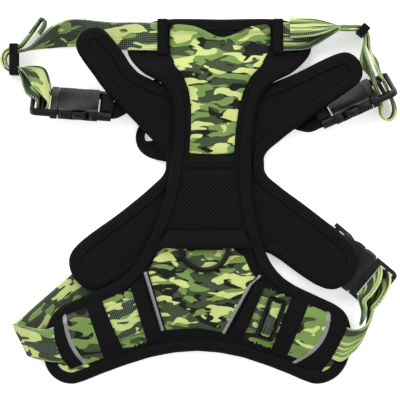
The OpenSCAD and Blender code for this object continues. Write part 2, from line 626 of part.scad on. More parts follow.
module prong(w, s) {
    py = prong_y(w);
    out = shell_w(w) / 2 - 0.4;
    mirror([0, s < 0 ? 1 : 0, 0]) union() {
        translate([knuckle_x, py, -prong_h / 2]) cylinder(h = prong_h, r = knuckle_r);
        translate([0, 0, -prong_h / 2]) linear_extrude(prong_h)
            polygon([[knuckle_x, py - 1.2], [knuckle_x, py + 1.2], [-10.4, py + 1.2], [-10.4, out - 0.4],
                [-11, out], [-15, out + 0.2], [-18.5, out - 0.6], [-21.4, py + 1.4], [-21.4, py - 0.4],
                [-19, py - 1.2]]);
    }
}
module buckle_tab(w, pose, ends) {
    r = tail_r + web_off;
    loop = [[-4, 1.9], [-2.4, r - 0.2], [0, r], [0.75 * r, 0.7 * r], [r, 0],
        [0.75 * r, -0.7 * r], [0, -r], [-3, -r + 0.1], [-5.5, -r + 0.5]];
    ribbon(concat([for (q = loop) in_pose(tail_x + q[0], q[1], pose)], ends), w, web_t, 3);
}
module left_female() {
    color("#2e2c2c") at_pose(left_pose) female(neck_w);
}
module left_male() {
    color("#2e2c2c") at_pose(left_pose) male(neck_w);
}
module left_prong_up() {
    color("#343232") at_pose(left_pose) prong(neck_w, 1);
}
module left_prong_low() {
    color("#343232") at_pose(left_pose) prong(neck_w, -1);
}
module left_tab() {
    color("#1a1a1c") buckle_tab(neck_w, left_pose, [[[-53, 70.6, 8.6], unit([-0.24, -0.85, 0.4])],
        [[-46.6, 74, 5.4], unit([-0.4, -0.9, 0.06])], [[-38.4, 78.4, 4], [-0.46, -0.9, 0]],
        [[-30, 83, 3.7], [-0.48, -0.88, 0]]]);
}
module right_female() {
    color("#2e2c2c") at_pose(right_pose) female(neck_w);
}
module right_male() {
    color("#2e2c2c") at_pose(right_pose) male(neck_w);
}
module right_prong_up() {
    color("#343232") at_pose(right_pose) prong(neck_w, 1);
}
module right_prong_low() {
    color("#343232") at_pose(right_pose) prong(neck_w, -1);
}
module right_tab() {
    color("#1a1a1c") buckle_tab(neck_w, right_pose, [[[75, 59.4, 9.8], unit([-0.16, 0.8, -0.5])],
        [[68, 62, 6.6], unit([-0.1, 0.94, -0.16])], [[60, 65, 4.2], [-0.1, 0.99, 0]],
        [[49, 67.6, 3.7], [-0.1, 0.99, 0]]]);
}
module belly_female() {
    color("#2e2c2c") at_pose(belly_pose) female(belly_w);
}
module belly_male() {
    color("#2e2c2c") at_pose(belly_pose) male(belly_w);
}
module belly_prong_up() {
    color("#343232") at_pose(belly_pose) prong(belly_w, 1);
}
module belly_prong_low() {
    color("#343232") at_pose(belly_pose) prong(belly_w, -1);
}
module belly_tab() {
    color("#1a1a1c") buckle_tab(belly_w, belly_pose, [[[73, -18.5, 4.6], [0.6, 0.8, 0]],
        [[61, -10.5, 4.2], [0.56, 0.83, 0]], [[50, -4, 3.9], [0.52, 0.85, 0]]]);
}

// puts the middle of the whole part over the origin
module placed() {
    translate([-centre_x, -centre_y, 0]) children();
}

placed() back_cover();
placed() back_core();
placed() back_lining();
placed() back_binding();
placed() back_handle();
placed() chest_lining();
placed() chest_core();
placed() chest_binding();
placed() neck_panel();
placed() trim_strip();
placed() mesh_panel();
placed() ring_flap();
placed() belly_panel();
placed() left_patch();
placed() right_patch();
placed() left_neck_band();
placed() right_neck_band();
placed() left_inner_band();
placed() left_middle_band();
placed() left_outer_band();
placed() right_inner_band();
placed() right_middle_band();
placed() right_outer_band();
placed() left_inner_strip();
placed() right_inner_strip();
placed() left_outer_strip();
placed() right_outer_strip();
placed() leash_ring();
placed() ring_tab();
placed() strap_slider();
placed() left_belly_strap();
placed() right_belly_strap();
placed() left_neck_strap();
placed() right_neck_strap();
placed() left_keeper();
placed() right_keeper();
placed() left_female();
placed() left_male();
placed() left_prong_up();
placed() left_prong_low();
placed() left_tab();
placed() right_female();
placed() right_male();
placed() right_prong_up();
placed() right_prong_low();
placed() right_tab();
placed() belly_female();
placed() belly_male();
placed() belly_prong_up();
placed() belly_prong_low();
placed() belly_tab();
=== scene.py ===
"""Looks of a dog harness lying flat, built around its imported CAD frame.

Lengths are millimetres until a mesh is made, in the place that the CAD source gives them before it
puts the part's middle over the origin. metres() brings them into the shared frame.
"""

import json
import math

import bmesh
import bpy
import numpy as np
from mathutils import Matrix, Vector, noise
from mathutils.bvhtree import BVHTree
from mathutils.geometry import delaunay_2d_cdt


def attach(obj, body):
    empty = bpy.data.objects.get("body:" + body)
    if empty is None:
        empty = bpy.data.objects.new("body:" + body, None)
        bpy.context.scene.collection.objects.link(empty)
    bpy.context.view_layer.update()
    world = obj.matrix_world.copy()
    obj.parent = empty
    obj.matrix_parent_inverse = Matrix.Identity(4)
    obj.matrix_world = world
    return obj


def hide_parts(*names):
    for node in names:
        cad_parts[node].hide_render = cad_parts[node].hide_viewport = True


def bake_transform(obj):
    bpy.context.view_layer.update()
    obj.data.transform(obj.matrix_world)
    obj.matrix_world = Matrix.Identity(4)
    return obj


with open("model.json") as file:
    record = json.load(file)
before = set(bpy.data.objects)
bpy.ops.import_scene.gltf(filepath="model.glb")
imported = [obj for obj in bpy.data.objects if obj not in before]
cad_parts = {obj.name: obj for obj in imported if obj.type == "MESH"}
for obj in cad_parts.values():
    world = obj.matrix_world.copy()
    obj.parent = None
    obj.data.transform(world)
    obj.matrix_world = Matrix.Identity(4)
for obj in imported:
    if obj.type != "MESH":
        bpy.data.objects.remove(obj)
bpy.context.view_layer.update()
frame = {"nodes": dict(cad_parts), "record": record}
BODY_OF = {n: b for b, nodes in frame["record"]["behaviour"]["bodies"].items() for n in nodes}

# sizes shared with the CAD source, in millimetres
MIDDLE = np.array([-0.77, 2.57, 0.0])
NECK_W = 20.0
NECK_Y = 131.0
BELLY_W = 25.0
HANDLE_W = 16.0
WEB_T = 1.6
PLAY = 0.3
BINDING_W = 8.0
CHEST_Z = 10.3
CHEST_TOP = 4.6
COVER_T = 0.8
WING_ORIGIN = np.array([50.0, -79.0, CHEST_Z * 39 / 56 + CHEST_TOP])
WING_ANGLE = 20.0
WING_SLOPE = math.degrees(math.atan(CHEST_Z / 56))
BAND_H = WEB_T + 2 * PLAY
RUN_Z = PLAY + WEB_T / 2
LEAN = 14.0 / 187
LEAN_Y = -72.0
SLIDER_X = -0.4
SLIDER_PITCH = 5.5
SLIDER_LIFT = 3.9
SLIDER_WRAP = 2.8
RING_Y = -28.5
RING_Z = 18.76
RING_R = 1.9
RING_PLAY = 0.06
TAB_L = 26.0
BUCKLE_T = 9.5
MALE_L = 20.0
TAIL_X = -34.0
MID_BAR_X = MALE_L - 9
SLOT_IN = MID_BAR_X - 3.4
SLOT_OUT = MID_BAR_X + 3.3
BAR_WRAP = 2.75
TAIL_WRAP = 3.15
EDGE_Z = NECK_W / 2 + 1.4
LEFT_POSE = ((-98.8, 71.4, 14.6), (52.0, 176.0))
RIGHT_POSE = ((116.8, 77.2, 14.8), (-57.0, 24.4))
BELLY_POSE = ((114.2, -48.9, BUCKLE_T / 2 + 0.3), (0.0, -40.0))
HANDLE_Z = 3.9
LEFT_TURN = (-130.5, 101.9)
RIGHT_TURN = (109.6, 116.8)
TURN_R = 6.0
TAIL_TURN_R = TURN_R + WEB_T + 0.7
KEEPER_L = 6.0


# frames and small vector helpers
def unit(v):
    v = np.asarray(v, float)
    return v / np.linalg.norm(v)


def turned(p, axis, degrees):
    """A point turned about X or Z."""
    c, s = math.cos(math.radians(degrees)), math.sin(math.radians(degrees))
    x, y, z = p
    return np.array([x, y * c - z * s, y * s + z * c] if axis == "X" else [x * c - y * s, x * s + y * c, z])


def pose_dir(p, pose):
    return turned(turned(p, "X", pose[1][0]), "Z", pose[1][1])


def pose_at(p, pose):
    return np.array(pose[0]) + pose_dir(p, pose)


def wing_dir(p, side):
    return turned(turned(p, "Z", -WING_ANGLE), "X", WING_SLOPE) * [side, 1, 1]


def wing_at(p, side):
    return WING_ORIGIN * [side, 1, 1] + wing_dir(p, side)


def leant(u, y):
    return u + LEAN * (y - LEAN_Y)


def metres(points):
    """Source millimetres to the shared frame."""
    return (np.asarray(points, float) - MIDDLE) / 1000


def smoothstep(x):
    x = np.clip(x, 0, 1)
    return x * x * (3 - 2 * x)


# materials
class Nodes:
    """A node tree, with short calls for what all trees use."""

    def __init__(self, tree):
        self.tree = tree

    def node(self, kind, inputs=(), **settings):
        made = self.tree.nodes.new(kind)
        for key, value in settings.items():
            setattr(made, key, value)
        for key, value in dict(inputs).items():
            self.feed(made.inputs[key], value)
        return made

    def feed(self, socket, value):
        if isinstance(value, bpy.types.NodeSocket):
            self.tree.links.new(value, socket)
        else:
            socket.default_value = value

    def math(self, operation, *values):
        return self.node("ShaderNodeMath", enumerate(values), operation=operation).outputs[0]


class Graph(Nodes):
    """A material, with a short call for each kind of node it uses."""

    def __init__(self, name, **shader):
        self.material = bpy.data.materials.new(name)
        self.material.use_nodes = True
        super().__init__(self.material.node_tree)
        self.tree.nodes.clear()
        self.shader = self.node("ShaderNodeBsdfPrincipled")
        self.node("ShaderNodeOutputMaterial", {"Surface": self.shader.outputs["BSDF"]})
        for key, value in shader.items():
            self.put(key.replace("_", " "), value)

    def put(self, name, value):
        self.feed(self.shader.inputs[name], value)

    def mix(self, factor, a, b, blend="MIX"):
        inputs = {0: factor, 6: a, 7: b}
        return self.node("ShaderNodeMix", inputs, data_type="RGBA", blend_type=blend).outputs[2]

    def moved(self, where, by):
        return self.node("ShaderNodeVectorMath", {0: where, 1: by}, operation="ADD").outputs[0]

    def place(self, kind="Object", scale=(1, 1, 1), turn=(0, 0, 0)):
        source = self.node("ShaderNodeTexCoord").outputs[kind]
        inputs = {"Scale": scale, "Rotation": [math.radians(a) for a in turn], "Vector": source}
        return self.node("ShaderNodeMapping", inputs).outputs[0]

    def noise(self, where, scale=1.0, detail=2.0, distortion=0.0):
        inputs = {"Vector": where, "Scale": scale, "Detail": detail, "Distortion": distortion}
        return self.node("ShaderNodeTexNoise", inputs).outputs["Fac"]

    def dots(self, where):
        inputs = {"Vector": where, "Scale": 1.0, "Randomness": 0.0}
        return self.node("ShaderNodeTexVoronoi", inputs, voronoi_dimensions="2D").outputs["Distance"]

    def step(self, value, at, width):
        inputs = {"Value": value, "From Min": at - width / 2, "From Max": at + width / 2}
        return self.node("ShaderNodeMapRange", inputs, interpolation_type="SMOOTHSTEP").outputs[0]

    def split(self, where):
        return self.node("ShaderNodeSeparateXYZ", {0: where}).outputs

    def threads(self, where):
        """A plain weave: crossed waves of one unit's pitch along X and Y."""
        turns = [self.math("MULTIPLY", part, 2 * math.pi) for part in self.split(where)[:2]]
        crossed = self.math("MULTIPLY", *(self.math("SINE", turn) for turn in turns))
        return self.math("MULTIPLY_ADD", crossed, 0.5, 0.5)

    def finished(self, colour, height, distance_m, strength):
        """The material, with its colour and with the bumps that a height makes."""
        self.put("Base Color", colour)
        inputs = {"Strength": strength, "Distance": distance_m, "Height": height}
        self.put("Normal", self.node("ShaderNodeBump", inputs).outputs[0])
        return self.material


def srgb(r, g, b):
    """A colour from 0 to 255 as the eye sees it, in the renderer's linear values."""
    return tuple(((c / 255 + 0.055) / 1.055) ** 2.4 if c > 10 else c / 255 / 12.92
                 for c in (r, g, b)) + (1,)


LIGHT = srgb(192, 203, 127)
GREEN = srgb(112, 140, 74)
OLIVE = srgb(60, 72, 48)
SHADE = srgb(22, 24, 19)
TEAL = srgb(25, 46, 39)
PRINT_BLUR = 0.012
SHADE_FROM = 0.53
RIB_SCALE, DIAGONAL = (0.52, 0.52, 1), (0, 0, 45)


def camouflage(g, where, base, green_from=0.54, light_from=0.55):
    """Woodland blobs stretched along X: base, then shade, green and light over it."""
    shade = g.step(g.noise(where, 1.0, 1.2, 0.5), SHADE_FROM, PRINT_BLUR)
    green = g.step(g.noise(g.moved(where, (31.7, 12.4, 5.0)), 1.0, 1.5, 0.5), green_from, PRINT_BLUR)
    light = g.step(g.noise(g.moved(where, (-14.2, 47.9, 9.0)), 1.0, 1.6, 0.6), light_from, PRINT_BLUR)
    colour = g.mix(shade, base, SHADE)
    colour = g.mix(green, colour, GREEN)
    return g.mix(light, colour, LIGHT)


def worn(g, colour, amount, scale=90.0):
    """Slow patches of lighter and darker cloth."""
    patches = g.noise(g.place(), scale, 4.0)
    tone = g.math("MULTIPLY_ADD", patches, amount, 1 - amount / 2)
    return g.mix(1.0, colour, tone, "MULTIPLY")


def printed_cloth(name, *levels):
    g = Graph(name, Roughness=0.85, Specular_IOR_Level=0.2)
    colour = camouflage(g, g.place("Object", (58, 140, 58)), OLIVE, *levels)
    weave = g.threads(g.place("Object", (900, 900, 900)))
    return g.finished(worn(g, colour, 0.16), weave, 0.00012, 0.6)


def printed_webbing(name, width, print_scale):
    """Printed weave whose knots show pale, most of all along the two edges."""
    g = Graph(name, Roughness=0.85, Specular_IOR_Level=0.2)
    colour = camouflage(g, g.place("UV", print_scale), TEAL)
    ribs = g.threads(g.place("UV", RIB_SCALE, DIAGONAL))
    across = g.split(g.place("UV"))[1]
    edge = g.step(g.math("ABSOLUTE", across), width / 2 - 1.1, 0.9)
    pale = g.math("MULTIPLY_ADD", edge, 0.5, 0.2)
    knots = g.math("MULTIPLY", g.step(ribs, 0.6, 0.5), pale)
    return g.finished(worn(g, g.mix(knots, colour, srgb(196, 214, 170)), 0.2), ribs, 0.0005, 0.9)


def black_webbing():
    g = Graph("black_webbing", Roughness=0.85, Specular_IOR_Level=0.15)
    ribs = g.threads(g.place("UV", RIB_SCALE, DIAGONAL))
    colour = g.mix(g.step(ribs, 0.5, 0.9), srgb(7, 7, 7), srgb(18, 18, 18))
    return g.finished(worn(g, colour, 0.3), ribs, 0.0005, 0.9)


def black_cloth(name, dark, light, pitch):
    g = Graph(name, Roughness=0.88, Specular_IOR_Level=0.15)
    weave = g.threads(g.place("Object", (1000 / pitch,) * 3, DIAGONAL))
    colour = g.mix(g.step(weave, 0.5, 1.0), dark, light)
    return g.finished(worn(g, colour, 0.35, 60.0), weave, 0.00016, 0.7)


def spacer_mesh(name, pitch):
    """Knitted mesh with a staggered lattice of open cells, whose holes are painted near black as painted
    shade.
    """
    g = Graph(name, Roughness=0.85, Specular_IOR_Level=0.15)
    cells = g.dots(g.place("Object", (1414 / pitch,) * 3, DIAGONAL))
    wall = g.step(cells, 0.34, 0.26)
    yarn = g.threads(g.place("Object", (1500, 1500, 1500)))
    # painted shade: the open cells are coloured near black and the yarn walls between them lighter
    colour = g.mix(wall, srgb(2, 2, 2), srgb(17, 15, 15))
    height = g.math("ADD", wall, g.math("MULTIPLY", yarn, 0.15))
    return g.finished(worn(g, colour, 0.3, 60.0), height, 0.0007, 0.9)


def tape_grey():
    g = Graph("reflective_tape", Roughness=0.42, Metallic=0.25)
    beads = g.dots(g.place("Object", (2200, 2200, 2200), DIAGONAL))
    colour = g.mix(g.step(beads, 0.4, 0.5), srgb(146, 146, 147), srgb(112, 112, 114))
    return g.finished(worn(g, colour, 0.2, 120.0), beads, 0.00008, 0.6)


def moulded(name, dark, light, rough, gloss):
    g = Graph(name, Specular_IOR_Level=gloss)
    grain = g.noise(g.place(), 2600.0, 2.0)
    colour = g.mix(g.step(g.noise(g.place(), 160.0, 4.0), 0.5, 0.5), dark, light)
    g.put("Roughness", g.math("MULTIPLY_ADD", g.noise(g.place(), 240.0, 3.0), 0.2, rough))
    return g.finished(colour, grain, 0.00006, 0.5)


def black_metal():
    g = Graph("black_plated_metal", Metallic=0.1, Specular_IOR_Level=0.28)
    fine = g.noise(g.place("Object", (900, 60, 900)), 4.0, 4.0)
    g.put("Roughness", g.math("MULTIPLY_ADD", fine, 0.12, 0.05))
    colour = g.mix(g.step(fine, 0.6, 0.3), srgb(6, 6, 7), srgb(12, 12, 13))
    return g.finished(colour, fine, 0.00003, 0.4)


def thread(name, colour):
    g = Graph(name, Roughness=0.7, Specular_IOR_Level=0.2)
    twist = g.noise(g.place(), 3000.0, 1.0)
    shine = tuple(min(1, 1.9 * c) for c in colour[:3]) + (1,)
    return g.finished(g.mix(twist, colour, shine), twist, 0.0001, 0.6)


def pale_floor():
    g = Graph("pale_floor", Roughness=0.8, Emission_Color=(1, 1, 1, 1), Emission_Strength=0.45)
    patches = g.noise(g.place(), 40.0, 3.0)
    g.put("Base Color", g.mix(patches, srgb(252, 252, 252), srgb(254, 254, 254)))
    return g.material


CAMO = printed_cloth("camouflage_cloth")
PATCH = printed_cloth("camouflage_patch", 0.49, 0.66)
BLOBS, STREAKS = (0.05, 0.13, 1), (0.016, 0.27, 1)
NECK_WEB = printed_webbing("camouflage_neck_webbing", NECK_W, BLOBS)
DRAWN_NECK_WEB = printed_webbing("drawn_neck_webbing", NECK_W, STREAKS)
BELLY_WEB = printed_webbing("camouflage_belly_webbing", BELLY_W, BLOBS)
DRAWN_BELLY_WEB = printed_webbing("drawn_belly_webbing", BELLY_W, STREAKS)
BLACK_WEB = black_webbing()
CLOTH = black_cloth("black_cloth", srgb(5, 4, 4), srgb(12, 11, 11), 0.9)
TAPE = black_cloth("binding_tape", srgb(6, 5, 5), srgb(14, 12, 12), 1.3)
LINING = spacer_mesh("mesh_lining", 3.0)
WINDOW = spacer_mesh("mesh_window", 3.3)
GREY = tape_grey()
PLASTIC = moulded("buckle_plastic", srgb(13, 12, 12), srgb(18, 17, 17), 0.18, 0.45)
SLIDER = moulded("slider_plastic", srgb(6, 6, 6), srgb(10, 9, 9), 0.08, 0.22)
METAL = black_metal()
THREAD = thread("black_thread", srgb(16, 15, 15))


# meshes
def linked(name, data):
    made = bpy.data.objects.new(name, data)
    bpy.context.scene.collection.objects.link(made)
    return made


def placed(name, mesh, slot, replaced, body):
    """An object that stands for CAD nodes and rides its body, unless body is None."""
    made = linked(name, mesh)
    if replaced:
        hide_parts(*replaced)
    if body:
        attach(made, body)
    return made


def follow(made, body, start, end):
    """Bakes a piece's placement into its mesh; body, start and end are not used."""
    tuple(metres(start))
    tuple(metres(end))
    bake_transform(made)


def piece(name, points, faces, materials, slot, replaced=(), body="harness", uv=None, kinds=None):
    """A smooth mesh in the shared frame, with all its faces turned outwards."""
    mesh = bpy.data.meshes.new(name)
    mesh.from_pydata(metres(points).tolist(), [], faces)
    for material in materials:
        mesh.materials.append(material)
    if kinds is not None:
        mesh.polygons.foreach_set("material_index", np.asarray(kinds, np.int32))
    if uv is not None:
        corners = [i for face in faces for i in face]
        layer = mesh.uv_layers.new(name="along")
        layer.data.foreach_set("uv", np.asarray(uv, np.float32)[corners].ravel())
    mesh.shade_smooth()
    mesh.update()
    work = bmesh.new()
    work.from_mesh(mesh)
    bmesh.ops.recalc_face_normals(work, faces=work.faces)
    work.to_mesh(mesh)
    work.free()
    return placed(name, mesh, slot, replaced, body)


def tube_faces(rings, sides, gaps):
    """Faces round a row of rings, in as many gaps; the last gap leads back to the first ring."""
    return [(r * sides + c, r * sides + (c + 1) % sides, (r + 1) % rings * sides + (c + 1) % sides,
             (r + 1) % rings * sides + c) for r in range(gaps) for c in range(sides)]


def lengths(line):
    """Distance along an open line at each of its points."""
    return np.r_[0, np.cumsum(np.linalg.norm(np.diff(line, axis=0), axis=1))]


def closed_line(points):
    return np.vstack([points, points[:1]])


def shell_faces(faces, rim, count):
    """Faces of an upper sheet, of the one below it, count points further on, and round their rim."""
    return ([tuple(f) for f in faces] + [tuple(i + count for i in reversed(f)) for f in faces]
            + [(a, a + count, b + count, b) for a, b in zip(rim, rim[1:] + rim[:1])])


# reading the frame's solids and the pieces made so far
def solid(node):
    return frame["nodes"][node].data


def points_of(mesh):
    flat = np.empty(3 * len(mesh.vertices))
    mesh.vertices.foreach_get("co", flat)
    return flat.reshape(-1, 3) * 1000 + MIDDLE


def triangles_of(mesh):
    mesh.calc_loop_triangles()
    return [tuple(t.vertices) for t in mesh.loop_triangles]


def tree_of(*meshes):
    points, faces = [], []
    for mesh in meshes:
        start = len(points)
        points += [Vector(p) for p in points_of(mesh)]
        faces += [tuple(i + start for i in t) for t in triangles_of(mesh)]
    return BVHTree.FromPolygons(points, faces)


def outline(node):
    """Longest loop round a node's upward faces, counter-clockwise seen from above."""
    points = points_of(solid(node))
    ids, first = {}, []
    for i, p in enumerate(points):
        first.append(ids.setdefault(tuple(np.round(p * 20).astype(int)), i))
    edges = set()
    for t in triangles_of(solid(node)):
        a, b, c = (points[i] for i in t)
        if unit(np.cross(b - a, c - a) + 1e-12)[2] > 0.3:
            corner = [first[i] for i in t]
            edges.update((corner[k], corner[(k + 1) % 3]) for k in range(3))
    after = {a: b for a, b in edges if (b, a) not in edges and a != b}
    best, longest = [], 0.0
    while after:
        start = next(iter(after))
        loop = [start]
        while loop[-1] in after:
            following = after.pop(loop[-1])
            if following == start:
                break
            loop.append(following)
        ring = points[loop][:, :2]
        length = np.linalg.norm(ring - np.roll(ring, 1, axis=0), axis=1).sum()
        if length > longest:
            best, longest = ring, length
    return best


def even(loop, step):
    """A closed line resampled at an even step."""
    closed = closed_line(loop)
    run = lengths(closed)
    count = max(8, int(round(run[-1] / step)))
    at = np.arange(count) * run[-1] / count
    return np.stack([np.interp(at, run, closed[:, k]) for k in range(closed.shape[1])], axis=1)


FINE_STEP = 0.5


def softened(loop, reach, step):
    """A closed line with its corners rounded over about reach."""
    fine = even(loop, FINE_STEP)
    span = int(3 * reach / FINE_STEP)
    weight = np.exp(-0.5 * (np.arange(-span, span + 1) * FINE_STEP / reach) ** 2)
    weight /= weight.sum()
    kept = sum(w * np.roll(fine, k, axis=0) for w, k in zip(weight, range(-span, span + 1)))
    return even(kept, step)


def inwards(loop):
    """Unit vectors that point to the inside of a counter-clockwise line."""
    along = np.roll(loop, -1, axis=0) - np.roll(loop, 1, axis=0)
    along /= np.linalg.norm(along, axis=1)[:, None]
    return np.stack([-along[:, 1], along[:, 0]], axis=1)


RAY_TOP, RAY_LOW = 80.0, -20.0
RING = [(0.0, 0.0)] + [(r * math.cos(a), r * math.sin(a)) for r in (0.5, 1.0)
                       for a in np.arange(8) * math.pi / 4]


def heights(tree, points, reach, top=True):
    """Mean height of a solid's upper or lower face round each point, so that its bends turn soft."""
    start, way = (RAY_TOP, Vector((0, 0, -1))) if top else (RAY_LOW, Vector((0, 0, 1)))
    found = np.full(len(points), np.nan)
    for i, (x, y) in enumerate(points):
        hits = [tree.ray_cast(Vector((x + reach * a, y + reach * b, start)), way)[0] for a, b in RING]
        hits = [h.z for h in hits if h is not None]
        if hits:
            found[i] = sum(hits) / len(hits)
    known = np.flatnonzero(~np.isnan(found))
    for i in np.flatnonzero(np.isnan(found)):
        near = known[np.argmin(np.hypot(*(np.asarray(points)[known] - points[i]).T))]
        found[i] = found[near]
    return found


def edge_distance(points, loop):
    batch = 500
    found = np.empty(len(points))
    for i in range(0, len(points), batch):
        part = points[i:i + batch, None, :] - loop[None, :, :]
        found[i:i + batch] = np.sqrt((part ** 2).sum(axis=2).min(axis=1))
    return found


RIM_STEP = 0.6


def filled(loop, step):
    """Triangles that fill a closed line with an even lattice: points, faces, and the line's own indices."""
    low, high = loop.min(axis=0), loop.max(axis=0)
    rows = np.arange(low[1], high[1], step * 0.866)
    lattice = np.array([(x + (k % 2) * step / 2, y) for k, y in enumerate(rows)
                        for x in np.arange(low[0], high[0], step)])
    lattice = lattice[edge_distance(lattice, even(loop, RIM_STEP)) > step * 0.55]
    count = len(loop)
    edges = [(i, (i + 1) % count) for i in range(count)]
    points, _, faces, origin, _, _ = delaunay_2d_cdt(
        [Vector(p) for p in np.vstack([loop, lattice])], edges, [], 1, 1e-6)
    where = {source: i for i, sources in enumerate(origin) for source in sources}
    return np.array([p[:] for p in points]), faces, [where[i] for i in range(count)]


def ruffle(points, amount, size, seed):
    """Slow unevenness of cloth, the same each run."""
    return np.array([amount * noise.noise(Vector((p[0] / size, p[1] / size, seed))) for p in points])


def slab(name, loop, step, top, low, materials, slot, replaced, paint=None, body="harness"):
    """A closed piece over a plan outline, whose upper and lower heights are functions of the points.

    paint gives the material number of each upper face from its middle, and all other faces take number 1.
    """
    points, faces, rim = filled(loop, step)
    away = edge_distance(points, even(loop, RIM_STEP))
    upper = np.column_stack([points, top(points, away)])
    under = np.column_stack([points, low(points, away)])
    under[rim, 2] = np.minimum(under[rim, 2], upper[rim, 2] - 0.05)
    made = shell_faces(faces, rim, len(points))
    kinds = None
    if paint:
        middles = np.array([points[list(f)].mean(axis=0) for f in faces])
        kinds = paint(middles) + [1] * (len(made) - len(faces))
    return piece(name, np.vstack([upper, under]), made, materials, slot, replaced, body, kinds=kinds)


# soft plates
PAD_STEP = 2.4
PAD_INSET = 1.2
PLATE_ROUND = 2.0
PLATE_REACH = 5.0
COVER_REACH = 3.0
COVER_ROUND = 0.6
# distance in from the edge, and height over the plate's upper or lower face
TAPE_UPPER = [(8.2, -0.5), (8.1, 0.35), (7.4, 0.62), (6.6, 0.5), (5.2, 0.78), (3.4, 0.72), (1.8, 0.3),
              (0.7, -0.5)]
TAPE_LOWER = [(0.7, 0.7), (2.2, 0.12), (5.0, 0.02), (8.0, 0.3)]
TAPE_STEP = 1.5
SEWN_ROW = 3
STITCH_LIFT = 0.05


def plate(name, binding, solids, materials, slot, replaced, crown, seed, paint):
    """The padded body of a plate, which goes into its edge binding."""
    tree = tree_of(*map(solid, solids))
    loop = softened(outline(binding), PLATE_ROUND, PAD_STEP)
    loop = loop + PAD_INSET * inwards(loop)

    def top(points, away):
        sunk = 0.9 * np.exp(-((away - BINDING_W + 0.6) / 1.6) ** 2)
        full = crown * smoothstep((away - BINDING_W) / 14) - sunk * 0.5
        edge = 1.6 * (1 - smoothstep(away / 2.5))
        return heights(tree, points, PLATE_REACH) + full - edge + ruffle(points, 0.22, 17, seed)

    def low(points, away):
        return heights(tree, points, PLATE_REACH, False) + 0.9 * (1 - smoothstep(away / 2.5))

    made = slab(name, loop, PAD_STEP, top, low, materials, slot, replaced, paint)


def edge_tape(name, node, solids, seed):
    """Folded tape round a plate, rounded over the edge and flat to the sewn line, which it returns."""
    tree = tree_of(*map(solid, solids))
    loop = softened(outline(node), PLATE_ROUND, TAPE_STEP)
    inner = inwards(loop)
    rows = []
    for away, lift in TAPE_UPPER:
        at = loop + away * inner
        lifted = heights(tree, at, PLATE_REACH) + lift + ruffle(at, 0.18, 11, seed)
        rows.append(np.column_stack([at, lifted]))
    base = heights(tree, loop + 4 * inner, PLATE_REACH, False)
    middle = (rows[-1][:, 2] + base) / 2
    rows.append(np.column_stack([loop + 0.05 * inner, middle]))
    for away, lift in TAPE_LOWER:
        at = loop + away * inner
        rows.append(np.column_stack([at, heights(tree, at, PLATE_REACH, False) + lift]))
    faces = tube_faces(len(rows), len(loop), len(rows))
    piece(name, np.vstack(rows), faces, [TAPE], "edge_binding", (node,))
    return rows[SEWN_ROW] + [0, 0, STITCH_LIFT]


def cover(name, node, material, slot, thick=COVER_T, crown=0.5, step=2.0, fold=None, soften=COVER_ROUND,
          cut=None, body="harness"):
    """A thin piece sewn flat on the plate's face, raised a little between its sewn edges."""
    tree = tree_of(solid(node))
    rim_step = min(step, 1.6)
    loop = softened(outline(node), soften, rim_step)
    if cut:
        loop = softened(cut(loop), COVER_ROUND, rim_step)
    inside = loop + 0.4 * inwards(loop)

    def top(points, away):
        lifted = crown * smoothstep(away / 5.0) - 0.35 * np.exp(-((away - 1.6) / 0.8) ** 2)
        extra = fold(points) if fold else 0.0
        return heights(tree, points, COVER_REACH) + lifted + extra - 0.5 * (1 - smoothstep(away / 0.9))

    def low(points, away):
        return heights(tree, points, COVER_REACH) - thick

    return slab(name, inside, step, top, low, [material], slot, (node,), body=body), loop


# straps
FOLD_H = 1.5
FOLD_PITCH = 8.6
LEAST_SHARE = 0.3
KEEPER_T = 1.1
SLEEVE_T = 1.0


def spline(points, per):
    """Catmull-Rom line through all points."""
    points = np.asarray(points, float)
    padded = np.vstack([points[:1], points, points[-1:]])
    out = []
    for i in range(len(points) - 1):
        a, b, c, d = padded[i:i + 4]
        for t in np.arange(per) / per:
            out.append(0.5 * (2 * b + (c - a) * t + (2 * a - 5 * b + 4 * c - d) * t * t
                              + (3 * b - a - 3 * c + d) * t ** 3))
    return np.array(out + [points[-1]])


def station(x, y, z, azimuth, tilt, share=1.0):
    """A strap's middle, its width direction by heading and tilt, and the share of its width left."""
    a, t = math.radians(azimuth), math.radians(tilt)
    way = np.array([math.cos(a) * math.cos(t), math.sin(a) * math.cos(t), math.sin(t)])
    return np.array([x, y, z]), way, share


def laid(*rows):
    return [station(*row) for row in rows]


def in_pose(x, z, pose, s=1):
    return pose_at([x, 0, z], pose), s * pose_dir([0, 1, 0], pose)


def in_wing(x, z, side):
    return wing_at([x, 0, z], side), wing_dir([0, 1, 0], side)


def section(width, thick):
    """Half-round edges and a flat woven middle: offsets across and up."""
    count = 15
    across = np.linspace(-1, 1, count) * (width / 2 - thick * 0.35)
    up = np.full(count, thick / 2)
    up[[0, -1]] *= 0.94
    edge = width / 2 - 0.05
    half = list(zip(across, up)) + [(edge, thick * 0.22), (edge, -thick * 0.22)]
    return np.array(half + [(-x, -z) for x, z in half])


